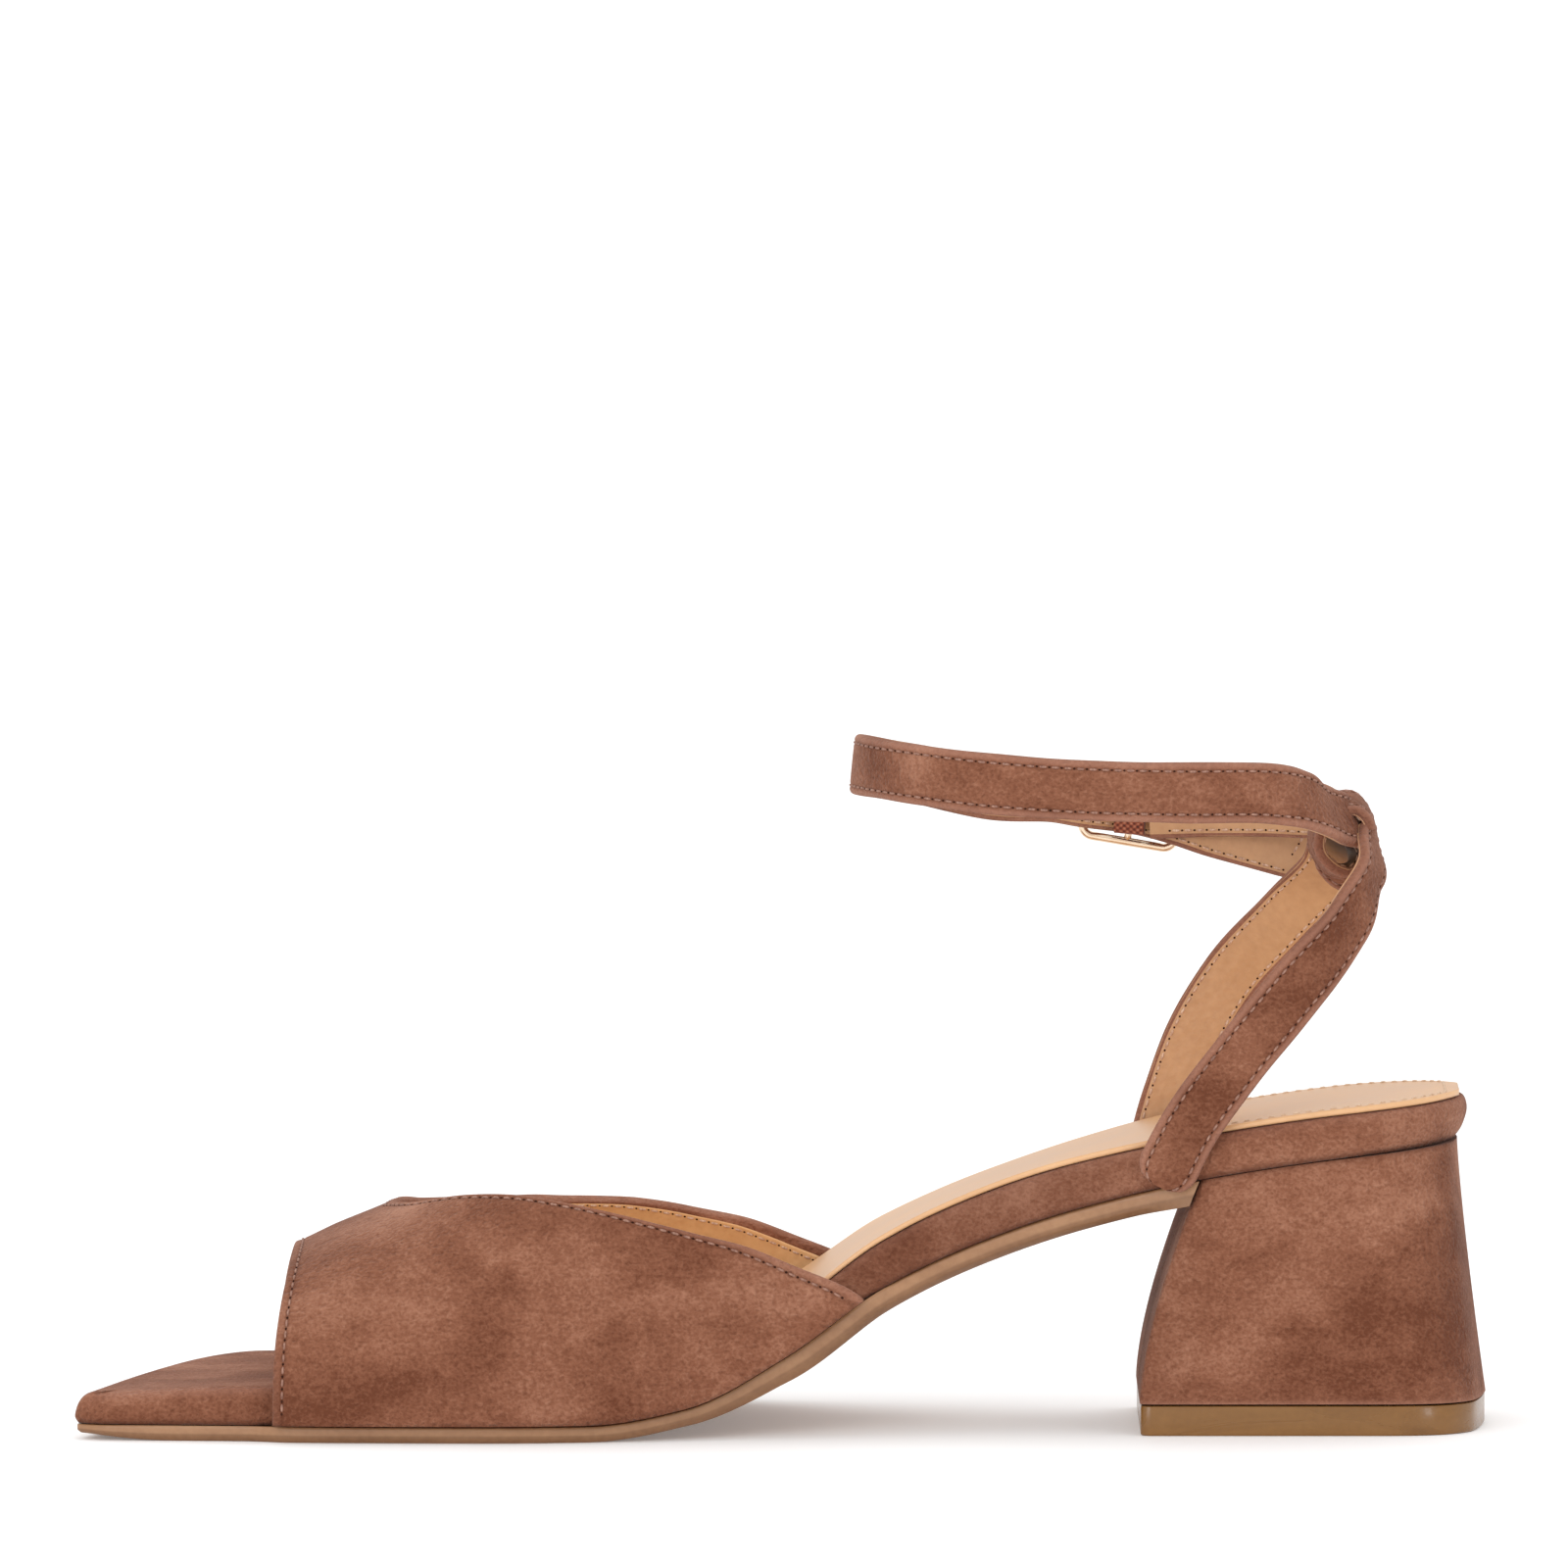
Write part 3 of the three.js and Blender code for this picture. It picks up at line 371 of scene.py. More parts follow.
suede = makeSuede(suedeFinish)
vampLiningLeather = makeLeather("vampLiningLeather", colourOf(206, 150, 98), colourOf(240, 190, 134), 0.45)
strapLiningLeather = makeLeather(
    "strapLiningLeather", colourOf(184, 134, 92), colourOf(220, 170, 124), 0.45)
sockLeather = makeLeather(
    "sockLeather", colourOf(214, 164, 116), colourOf(236, 188, 140), 0.38, 900.0, 0.00003)
soleLeather = makeSoleLeather()
topPieceRubber = makeTopPieceRubber()
gold = makeGold()
elasticWeave = makeElasticWeave()
suedeThread = makeThread("suedeThread", colourOf(112, 72, 58), colourOf(192, 146, 126))
liningThread = makeThread("liningThread", colourOf(168, 114, 82), colourOf(250, 216, 188))
sockThread = makeThread("sockThread", colourOf(206, 170, 138), colourOf(246, 222, 196))
pinholeShade = makePinholeShade()
print("materials")


# Shapes: millimetres from the toe tip, the middle of the seat and the floor

last = {
    "length": 240.0,
    "ballWidth": 78.0,
    "seatWidth": 50.0,
    "seatRise": 47.0,
    "toeTipShift": 30.0,
    "medialToeRound": 7.0,
    "lateralToeRound": 33.0,
    "seatRound": 23.0,
    "toRowFrame": (-121.61, -0.8744, 0.0),
    # at, inner and outer share of the local width
    "plan": [
        (0.0, 0.435, 0.35), (0.1, 0.455, 0.4), (0.2, 0.48, 0.455), (0.3, 0.49, 0.5), (0.4, 0.47, 0.53),
        (0.5, 0.437, 0.535), (0.6, 0.428, 0.506), (0.7, 0.445, 0.49), (0.8, 0.475, 0.49), (0.88, 0.5, 0.5),
        (1.0, 0.5, 0.5),
    ],
    # at, rise of the feather line as a share of the seat's rise
    "profile": [
        (0.0, 0.0), (0.368, 0.0), (0.438, 0.053), (0.508, 0.229), (0.579, 0.479), (0.649, 0.646),
        (0.719, 0.767), (0.804, 0.872), (0.9, 0.95), (1.0, 1.0),
    ],
    # at, height of the crown as a share of the instep height
    "crown": [
        (0.1, 0.385), (0.157, 0.428), (0.19, 0.479), (0.2275, 0.533), (0.283, 0.63), (0.34, 0.74),
        (0.404, 0.82), (0.473, 0.893), (0.57, 1.0),
    ],
}
gap = 0.3


# Eased step: k * k * (3 - 2 * k) of the share k of the way from low to high
def smooth(x, low, high):
    k = np.clip((x - low) / (high - low), 0, 1)
    return k * k * (3 - 2 * k)


# Straight from a to b by a share
def mix(a, b, share):
    return a + (b - a) * share


# Cubic pieces through a table's points whose slopes are the harmonic means of their neighbours'
def curveThrough(at, value):
    at, value = np.array(at, float), np.array(value, float)
    span = np.diff(at)
    slope = np.diff(value) / span
    product = slope[:-1] * slope[1:]
    both = slope[:-1] + slope[1:]
    inner = np.where(product > 0, 2 * product / np.where(both == 0, 1, both), 0)
    tangent = np.concatenate([slope[:1], inner, slope[-1:]])

    def curve(share):
        s = np.clip(share, at[0], at[-1])
        i = np.clip(np.searchsorted(at, s, side="right") - 1, 0, len(span) - 1)
        k = (s - at[i]) / span[i]
        low = value[i] * (1 + 2 * k) * (1 - k) ** 2 + tangent[i] * span[i] * k * (1 - k) ** 2
        return low + value[i + 1] * k * k * (3 - 2 * k) - tangent[i + 1] * span[i] * k * k * (1 - k)

    return curve


medialShare = curveThrough(*zip(*[(row[0], row[1]) for row in last["plan"]]))
lateralShare = curveThrough(*zip(*[(row[0], row[2]) for row in last["plan"]]))
riseShare = curveThrough(*zip(*last["profile"]))
crownShare = curveThrough(*zip(*last["crown"]))


# Rounding of an end: from 0 at the end to 1 at the length, a quarter circle at sharpness 0.5
def endRound(distance, length, sharpness=0.5):
    k = np.clip(distance / length, 0, 1)
    return (1 - (1 - k) ** 2) ** sharpness


# Half width of the last: share of the width, times the roundings of toe and seat
def plan(along, side):
    at = along / last["length"]
    width = mix(last["ballWidth"], last["seatWidth"], smooth(at, 0.3, 0.75))
    share = np.where(side < 0, medialShare(at), lateralShare(at))
    medialToe = endRound(along, last["medialToeRound"])
    lateralToe = endRound(along, last["lateralToeRound"], 1)
    toe = np.where(side < 0, medialToe, lateralToe)
    back = endRound(last["length"] - along, last["seatRound"])
    tip = last["toeTipShift"]
    return (-tip + (side * share * width + tip) * toe) * back


bottom = {
    "outsoleThickness": 2.8,
    "waistThickness": 4.0,
    "outsoleToeInset": 0.9,
    "toeSpring": 1.2,
    "toeInsole": 6.5,
    "seatInsole": 7.3,
    "toeSkive": 1.2,
    "archTilt": 1.6,
    "insoleStep": 1.2,
    "sockThickness": 0.8,
    "sockEdge": 1.4,
    "sockFront": 50.6,
    "sockBack": 238.4,
    "endTrim": 0.02,
    "heelFrontTop": 193.7,
    "heelBackTop": 238.2,
    "heelBackBottom": 243.2,
    "heelBottomLength": 60.0,
    "heelBottomWidth": 52.0,
    "heelSeatInset": 1.2,
    "breastCurve": 1.6,
    "backCurve": 1.25,
    "topPiece": 5.2,
    "topPieceInset": 0.15,
}
vamp = {
    "wall": 1.8,
    "front": 34.6,
    "frontRake": 3.3,
    "throat": 55.2,
    "rear": 136.0,
    "instep": 69.0,
    "ridgeShift": 6.0,
    "roundness": 2.3,
    "standOut": 1.0,
    "fold": 2.1,           # width of the turned edge, seen inside
    "suedeDepth": 1.35,
    "frontStitch": 1.7,
    "toplineStitch": 1.9,
    # along from throat to rear, and the rise that the wall reaches there, inner and outer side
    "topline": [
        (0.0, 1.0, 1.0), (0.05, 0.978, 0.93), (0.165, 0.915, 0.8), (0.337, 0.775, 0.672), (0.521, 0.64, 0.59),
        (0.726, 0.466, 0.441), (0.828, 0.33, 0.314), (0.934, 0.153, 0.145), (1.0, 0.0, 0.0),
    ],
}


# Height of the insole's underside: the sole, plus the seat's rise by its curve
def featherHeight(along):
    return bottom["outsoleThickness"] + last["seatRise"] * riseShare(along / last["length"])


# Insole: thin at the ball, thicker to the seat, less the skive at the toe
def insoleThickness(along):
    at = along / last["length"]
    full = mix(bottom["toeInsole"], bottom["seatInsole"], smooth(at, 0.4, 0.58))
    return full - bottom["toeSkive"] * (1 - smooth(at, 0, 0.13))


# Tilt across the arch, rising to the inner side in proportion to y
def archLift(along, y):
    at = along / last["length"]
    arch = smooth(at, 0.45, 0.62) * (1 - smooth(at, 0.66, 0.8))
    return -bottom["archTilt"] * arch * (y / last["seatWidth"])


# Sole thickness measured upright: the square thickness times the length of its slope
def outsoleHeight(along):
    slope = (featherHeight(along + 1) - featherHeight(along - 1)) / 2
    toWaist = smooth(along / last["length"], 0.43, 0.54)
    square = mix(bottom["outsoleThickness"], bottom["waistThickness"], toWaist)
    return square * np.hypot(1, slope)


# 1 under the vamp and 0 away from it, eased at its front and rear
def underVamp(along):
    front = smooth(along, vamp["front"] - 5, vamp["front"] + 3)
    return front * (1 - smooth(along, vamp["rear"] - 6, vamp["rear"] + 6))


# Stations along the last, close together where its ends are round
def stationsBetween(low, high, steps=190, roundSteps=22):
    quarter = 1 - np.cos(np.pi / 2 * np.linspace(0, 1, roundSteps + 1))
    toe = last["medialToeRound"] * quarter
    back = last["length"] - last["seatRound"] * quarter[::-1]
    even = np.linspace(toe[-1], back[0], steps)
    inside = np.unique(np.concatenate([toe, even, back]).round(6))
    inside = inside[(inside > low + 0.05) & (inside < high - 0.05)]
    return np.concatenate([[low], inside, [high]])


# The outline moved inwards: along the shoe near its ends, across it along its sides
def insetOutline(stations, inset, side):
    reach = 36.0           # from an end, as far as the outline still moves along the shoe
    half = (plan(stations, 1) - plan(stations, -1)) / 2
    narrow = half ** 2 / (half ** 2 + inset ** 2 + 1e-9)
    slope = (plan(stations + 0.05, side) - plan(stations - 0.05, side)) / 0.1

    def fade(distance):
        return (1 - np.minimum(distance / reach, 1)) ** 2

    along = inset[0] * fade(stations - stations[0]) - inset[-1] * fade(stations[-1] - stations)
    return stations + along, plan(stations, side) - side * inset / np.hypot(1, slope) * narrow


# The four corners of each face between neighbouring rows and columns, as numbers of points
def gridFaces(rows, columns, closedRows=False, closedColumns=False):
    i = np.arange(rows if closedRows else rows - 1)[:, None]
    j = np.arange(columns if closedColumns else columns - 1)[None, :]
    i2, j2 = (i + 1) % rows, (j + 1) % columns
    corners = (i * columns + j, i2 * columns + j, i2 * columns + j2, i * columns + j2)
    return np.stack(np.broadcast_arrays(*corners), -1).reshape(-1, 4)


# One finished object in the row frame, from points in millimetres
def addPiece(name, points, faces, material, node=None, values=None, uv=None, sharp=None):
    mesh = bpy.data.meshes.new(name)
    place = (np.asarray(points, float).reshape(-1, 3) + last["toRowFrame"]) * 0.001
    mesh.from_pydata(place.tolist(), [], faces)
    work = bmesh.new()
    work.from_mesh(mesh)
    bmesh.ops.recalc_face_normals(work, faces=work.faces)
    work.to_mesh(mesh)
    work.free()
    mesh.shade_smooth()
    if sharp:
        mesh.set_sharp_from_angle(angle=math.radians(sharp))
    for key, value in (values or {}).items():
        layer = mesh.attributes.new(key, "FLOAT", "POINT")
        spread = np.broadcast_to(value, points.shape[:-1]).astype(np.float32)
        layer.data.foreach_set("value", spread.ravel())
    if uv is not None:
        corners = np.empty(len(mesh.loops), dtype=np.int32)
        mesh.loops.foreach_get("vertex_index", corners)
        layer = mesh.uv_layers.new(name="tape")
        layer.data.foreach_set("uv", uv.reshape(-1, 2)[corners].astype(np.float32).ravel())
    mesh.materials.append(material)
    piece = bpy.data.objects.new(name, mesh)
    bpy.context.scene.collection.objects.link(piece)
    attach(piece, "root")
    if node:
        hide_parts(node)


# Faces of a grid closed around its columns, with its first and last row each filled by one face
def closedGrid(points):
    rows, columns = points.shape[:2]
    faces = gridFaces(rows, columns, closedColumns=True).tolist()
    faces.append(list(range(columns)))
    faces.append(list(range((rows - 1) * columns, rows * columns)))
    return faces


# A layer of the bottom: for each station the inner edge's levels, the top, the outer edge's levels
# and the underside. edge(level, side) gives x, y, z along the stations; flat(row, isTop) gives a
# row between the edges its height
def layeredGrid(levels, edge, flat, across):
    inner = [edge(level, -1) for level in levels]
    outer = [edge(level, 1) for level in levels]
    shares = np.linspace(0, 1, across + 2)[1:-1]
    top = [flat(mix(inner[-1], outer[-1], k), True) for k in shares]
    under = [flat(mix(outer[0], inner[0], k), False) for k in shares]
    return np.stack(inner + top + outer[::-1] + under, axis=1)


# Insole: board wrapped in suede, its rim soft and round
insoleRim = {
    # level from under to top, inset, rise, inset at the toe, where the rim is rounder
    "rows": [
        (0.0, 0.9, 0.0, 1.1), (0.2, 0.15, 0.2, 0.5), (0.4, 0.0, 0.5, 0.85), (0.62, 0.28, 0.8, 1.8),
        (0.8, 1.0, 0.95, 3.1), (1.0, 2.4, 1.0, 5.2),
    ],
    "levels": 18,
    "across": 26,
    "toeReach": 34.0,
    "backTuck": 1.3,       # the rim's foot is drawn in round the seat
    "tuckAlong": (205, 238),
    "overlap": 0.13,       # the rim comes down almost onto the sole
    # painted highlight on the rim's upper rounding; painted shade at the rim's foot and across the arch
    "rimHighlight": 0.3,
    "underShade": 0.8,
    "archShade": 0.3,
    "archAlong": (100, 125, 168, 195),
}


# Rim: the outline stepped in and up by level; between the rims flat rows across at the same height
def makeInsole(p):
    stations = stationsBetween(bottom["endTrim"], last["length"] - bottom["endTrim"])
    table = np.array(p["rows"])
    insetAt = curveThrough(table[:, 0], table[:, 1])
    riseAt = curveThrough(table[:, 0], table[:, 2])
    toeInsetAt = curveThrough(table[:, 0], table[:, 3])

    def height(x, y, rise):
        low = -p["overlap"] * (1 - rise) ** 4
        return featherHeight(x) + gap / 2 + low + rise * (insoleThickness(x) + archLift(x, y))

    def edge(level, side):
        toe = 1 - smooth(stations, 2, p["toeReach"])
        tuck = p["backTuck"] * smooth(stations, *p["tuckAlong"]) * (1 - smooth(level, 0.0, 0.55))
        step = bottom["insoleStep"] * underVamp(stations)
        inset = mix(insetAt(level), toeInsetAt(level), toe) + tuck + step
        x, y = insetOutline(stations, inset, side)
        return np.stack([x, y, height(x, y, riseAt(level))], -1)

    def flat(row, isTop):
        z = height(row[:, 0], row[:, 1], 1.0 if isTop else 0.0)
        return np.stack([row[:, 0], row[:, 1], z], -1)

    levels = np.linspace(0, 1, p["levels"])
    points = layeredGrid(levels, edge, flat, p["across"])
    wearAndHighlight = np.zeros(points.shape[:2])
    seamAndShade = np.zeros(points.shape[:2])
    n = p["levels"]
    # Painted highlight along the rim's upper rounding, stronger at the toe; painted shade at the rim's foot,
    # where it meets the sole, and over the arch
    rim = np.exp(-((levels - 0.74) / 0.13) ** 2) * p["rimHighlight"]
    under = np.exp(-(levels / 0.1) ** 2) * p["underShade"]
    toe = 1 - smooth(points[:, :, 0], 20, 60) * 0.6
    arch = smooth(points[:, :, 0], *p["archAlong"][:2]) * (1 - smooth(points[:, :, 0], *p["archAlong"][2:]))
    wearAndHighlight[:, :n] = rim
    wearAndHighlight[:, n + p["across"]:2 * n + p["across"]] = rim[::-1]
    seamAndShade[:, :n] = under
    seamAndShade[:, n + p["across"]:2 * n + p["across"]] = under[::-1]
    seamAndShade[[0, -1]] = wearAndHighlight[[0, -1]] = 0      # the narrow ends at the toe and the back
    marks = {"wearAndHighlight": wearAndHighlight * toe, "seamAndShade": np.maximum(seamAndShade, arch * p["archShade"])}
    addPiece("insoleRand", points, closedGrid(points), suede, "insole", marks)


makeInsole(insoleRim)


# Sock lining: a thin sheet on the insole with a turned edge, drawn lighter as a painted highlight
sock = {
    "frontCorner": 7.0,
    "backCorner": 6.0,
    "narrowest": 0.8,
    "across": 30,
    "edgeHighlight": 0.2,
    # inset and rise of each step round the edge, from under to top
    "edge": [(0.12, 0.0), (0.0, 0.3), (0.0, 0.6), (0.1, 0.85), (0.3, 1.0), (0.7, 1.0)],
}


# Height of the lining's face: the bottom of the last, the insole, the lift at the arch and the sheet
def sockTop(x, y):
    insoleTop = featherHeight(x) + gap / 2 + insoleThickness(x) + archLift(x, y)
    return insoleTop + gap + bottom["sockThickness"]


# The insole's outline less a step, narrower where the two ends have round corners
def sockEdge(stations, side, inset=0.0):
    corner = endRound(stations - bottom["sockFront"] + bottom["endTrim"], sock["frontCorner"])
    corner = corner * endRound(bottom["sockBack"] + bottom["endTrim"] - stations, sock["backCorner"])
    step = bottom["sockEdge"] + bottom["insoleStep"] * underVamp(stations) + inset
    return (plan(stations, side) - side * step) * mix(sock["narrowest"], 1, corner)


# Edge steps by inset and rise, then flat rows across the top and the underside
def makeSock(p):
    stations = stationsBetween(bottom["sockFront"], bottom["sockBack"])

    def edge(level, side):
        y = sockEdge(stations, side, level[0])
        z = sockTop(stations, y) - (1 - level[1]) * (bottom["sockThickness"] + gap * 0.8)
        return np.stack([stations, y, z], -1)

    def flat(row, isTop):
        z = sockTop(row[:, 0], row[:, 1]) - (0 if isTop else bottom["sockThickness"])
        return np.stack([row[:, 0], row[:, 1], z], -1)

    points = layeredGrid(p["edge"], edge, flat, p["across"])
    # painted highlight along the turned edge on both sides
    wearAndHighlight = np.zeros(points.shape[:2])
    wearAndHighlight[:, 1:4] = p["edgeHighlight"]
    far = len(p["edge"]) + p["across"] + 2
    wearAndHighlight[:, far:far + 3] = p["edgeHighlight"]
    faces = closedGrid(points)
    addPiece("sockLining", points, faces, sockLeather, "sock_lining", {"wearAndHighlight": wearAndHighlight})


makeSock(sock)


# Outsole: leather sole with a pale upper band and a browner bevel at its edge, drawn darker as painted shade
outsole = {
    "rows": [(0.0, 1.0, 0.0), (0.3, 0.08, 0.3), (0.45, 0.0, 0.42), (0.8, 0.0, 0.86), (1.0, 0.25, 1.0)],
    "levels": 12,
    "waistInset": 0.6,
    "bevel": (0.6, 2.0),   # at the forefoot and at the waist
    "stepOut": 1.8,
    "leanOver": 12.0,      # the last stretch before the heel leans with its breast
    "across": 12,
}


# Front of the heel at a share of its height: a power curve from the seat to the top piece
def heelFront(share):
    foot = bottom["heelBackBottom"] - bottom["heelBottomLength"]
    return mix(bottom["heelFrontTop"], foot, 1 - (1 - np.clip(share, 0, 1)) ** bottom["breastCurve"])


# Edge: the outline stepped in by level between a bevelled foot and the upper's underside; flat
# rows run across. Near the heel the stations lean forward with the breast
def makeOutsole(p):
    end = bottom["heelFrontTop"] - gap
    stations = stationsBetween(bottom["endTrim"], end)
    stations = np.sort(np.concatenate([stations, end - np.array([0.4, 0.9, 1.6, 2.4])]))
    heelFoot = bottom["topPiece"] + gap
    heelHeight = featherHeight(bottom["heelFrontTop"]) - heelFoot
    table = np.array(p["rows"])
    insetAt = curveThrough(table[:, 0], table[:, 1])
    riseAt = curveThrough(table[:, 0], table[:, 2])

    def edge(level, side):
        at = stations / last["length"]
        bevel = mix(*p["bevel"], smooth(at, 0.5, 0.64))
        sideInset = bottom["outsoleToeInset"] + p["waistInset"] * smooth(at, 0.55, 0.62)
        ending = smooth(stations, bottom["heelFrontTop"] - p["leanOver"], end)
        inset = mix(sideInset - p["stepOut"] * underVamp(stations) + insetAt(level) * bevel, 0, ending)
        flatX, y = insetOutline(stations, inset, side)
        rise = riseAt(level)
        depth = (1 - rise) * outsoleHeight(flatX) / heelHeight
        lean = smooth(flatX, bottom["heelFrontTop"] - p["leanOver"], bottom["heelFrontTop"])
        x = flatX - lean * (bottom["heelFrontTop"] - heelFront(depth))
        above = featherHeight(x) - gap / 2
        spring = bottom["toeSpring"] * (1 - smooth(x / last["length"], 0, 0.09)) ** 2
        below = np.maximum(featherHeight(x) - outsoleHeight(x) + spring, 0)
        return np.stack([x, y, mix(below, above, rise)], -1)

    def flat(row, isTop):
        return row

    points = layeredGrid(np.linspace(0, 1, p["levels"]), edge, flat, p["across"])
    # The lower band and the underside are drawn in the bevel's darker colour, painted shade on faces turned
    # down
    bevel = np.zeros(points.shape[:2])
    n = p["levels"]
    band = 1 - smooth(riseAt(np.linspace(0, 1, n)), 0.42, 0.56)
    bevel[:, :n] = band
    bevel[:, n + p["across"]:2 * n + p["across"]] = band[::-1]
    bevel[:, 2 * n + p["across"]:] = 0.35
    addPiece(
        "soleLeatherEdge", points, closedGrid(points), soleLeather, "outsole",
        {"bevel": bevel}, sharp=55)


makeOutsole(outsole)


# Heel: suede covered block, its cover joined down the middle of the breast
heel = {
    "rows": 60,
    "around": 54,
    "cornerShare": 0.03,
    "cornerRadius": 1.3,
    "breastColumns": 31,
    "backRound": 0.955,
    "backFrom": 0.55,      # from here the top piece narrows towards its back
    "backShare": 0.18,
    "insetMiddle": 0.45,
    "seamWidth": 0.45,
    "seamDepth": 0.3,
    "paleMiddle": 0.47,    # painted shade: the cover is drawn a little darker away from this share of its depth
    "edgeShade": 0.12,
    "edgeReach": (14, 26),
}


# Plan of the heel at a share of its height, as x, y over the stations s from breast to back
def heelPlan(share, s, side, inset=0.0):
    b = bottom
    backFlare = share ** b["backCurve"]
    frontFlare = 1 - (1 - share) ** b["breastCurve"]
    flare = mix(frontFlare, backFlare, s)
    topX = mix(b["heelFrontTop"], b["heelBackTop"], s)
    topY = np.abs(plan(topX, side)) - b["heelSeatInset"]
    bottomX = mix(b["heelBackBottom"] - b["heelBottomLength"], b["heelBackBottom"], s)
    narrowing = np.maximum(0, (s - heel["backFrom"]) / (1 - heel["backFrom"]))
    corner = np.maximum(0, 1 - narrowing ** 5) ** 0.5
    bottomY = b["heelBottomWidth"] / 2 * mix(heel["backShare"], 1, corner)
    y = mix(topY, bottomY, backFlare)
    ending = np.clip((s - heel["backRound"]) / (1 - heel["backRound"]), 0, 1)
    y = y * np.sqrt(np.maximum(1 - ending ** 2, 0))
    front = np.clip(1 - s / heel["cornerShare"], 0, 1)
    y = y - heel["cornerRadius"] * (1 - np.sqrt(1 - front ** 2))
    y = np.maximum(y - inset, 0)
    return mix(topX, bottomX, flare) - (s - heel["insetMiddle"]) * 2 * inset, side * y


# Shares from breast to back, by a quarter sine and closer together round the front corner
def heelStations():
    sines = np.sin(np.pi / 2 * np.linspace(0, 1, heel["around"]))
    corner = heel["cornerShare"] * (1 - np.cos(np.pi / 2 * np.linspace(0, 1, 9)))
    return np.unique(np.concatenate([sines, corner]).round(7))


# Closed loops round the heel at shares of its height: one side to the back, the other side
# forward again, then straight across the breast
def heelLoops(shares, height, inset=None):
    s = heelStations()[None, :]
    shares = np.asarray(shares, float)[:, None]
    inset = np.zeros_like(shares) if inset is None else np.asarray(inset, float)[:, None]
    sides = []
    for side in (-1, 1):
        x, y = heelPlan(shares, s, side, inset)
        sides.append(np.stack([x, y, height(x, shares)], -1))
    k = np.linspace(0, 1, heel["breastColumns"] + 2)[1:-1][None, :, None]
    breast = mix(sides[1][:, :1], sides[0][:, :1], k)
    return np.concatenate([sides[0], sides[1][:, ::-1][:, 1:], breast], axis=1)


# Height between the bottom of the last and the top piece; the seam is a groove along y = 0
def makeHeel(p):
    heelFoot = bottom["topPiece"] + gap

    def height(x, share):
        return mix(featherHeight(np.minimum(x, last["length"])) - gap / 2, heelFoot, share)

    shares = np.linspace(0, 1, p["rows"])
    points = heelLoops(shares, height)
    atBreast = np.zeros(points.shape[:2])
    atBreast[:, -p["breastColumns"]:] = 1
    groove = np.exp(-(points[:, :, 1] / p["seamWidth"]) ** 2) * atBreast
    points[:, :, 0] += groove * p["seamDepth"]
    # Painted shade: the cover is drawn darker towards the breast and the back, and in a band just under the
    # insole; the breast seam's groove is drawn dark too
    middle = mix(points[:, :1, 0], points[:, :, 0].max(1, keepdims=True), p["paleMiddle"])
    edges = p["edgeShade"] * smooth(np.abs(points[:, :, 0] - middle), *p["edgeReach"])
    low = np.exp(-((1 - shares) / 0.012) ** 2)[:, None]
    high = np.exp(-(shares / 0.015) ** 2)[:, None]
    seamAndShade = np.maximum(np.maximum(groove * 0.7, high * 0.6), edges)
    addPiece(
        "heelCover", points, closedGrid(points), suede, "heel",
        {"wearAndHighlight": low * 0.45, "seamAndShade": seamAndShade}, sharp=60)


makeHeel(heel)


# Top piece: the hard lift under the heel, with a small round at both edges
topPiece = {"edgeRound": 0.45, "steps": 6, "upperShare": 0.4}


# A quarter round at the lower edge, and the same one flatter at the upper edge
def makeTopPiece(p):
    angles = np.linspace(0, np.pi / 2, p["steps"])
    inset = bottom["topPieceInset"] + p["edgeRound"] * (1 - np.sin(angles))
    rise = p["edgeRound"] * (1 - np.cos(angles))
    upper = bottom["topPiece"] - rise[::-1] * p["upperShare"]
    rows = np.concatenate([rise, upper])[:, None]

    def height(x, share):
        return x * 0 + rows

    points = heelLoops(np.ones(len(rows)), height, np.concatenate([inset, inset[::-1]]))
    faces = closedGrid(points)
    addPiece("topPieceLift", points, faces, topPieceRubber, "heel_top_piece", sharp=60)


makeTopPiece(topPiece)
print("insole, sock lining, outsole, heel and top piece")


# Vamp: one wall over the foot with turned edges
def angleOfRise(rise):
    return np.arcsin(np.minimum(np.asarray(rise) ** (vamp["roundness"] / 2), 1))


# The vamp's rear edge on one side: length by share of the angle over the foot
def toplineOf(column):
    table = np.array(vamp["topline"])
    at = angleOfRise(table[:, column]) / (np.pi / 2)
    length = mix(vamp["throat"], vamp["rear"], table[:, 0])
    return curveThrough(at[::-1], length[::-1])


medialTopline = toplineOf(1)
lateralTopline = toplineOf(2)


# The wall's face on the foot: over runs from the medial bottom edge over the crown to the lateral one,
# back from the front edge to the topline; each section is a superellipse from side to crown
def vampPoint(back, over):
    side = np.where(over < 0.5, -1.0, 1.0)
    climb = 1 - np.abs(over - 0.5) * 2
    angle = climb * np.pi / 2
    front = vamp["front"] + vamp["frontRake"] * np.sin(angle) ** 2.6
    rear = np.where(side < 0, medialTopline(climb), lateralTopline(climb))
    x = mix(front, rear, back)
    base = featherHeight(x) + gap / 2
    height = vamp["instep"] * crownShare(x / last["length"]) - base
    wide = plan(x, side) + side * vamp["standOut"]
    power = 2 / vamp["roundness"]
    y = wide * np.cos(angle) ** power - vamp["ridgeShift"] * np.sin(angle) ** 2
    return np.stack([x, y, base + height * np.sin(angle) ** power], -1)


# The vector divided by its length
def unit(v):
    return v / np.maximum(np.linalg.norm(v, axis=-1, keepdims=True), 1e-12)


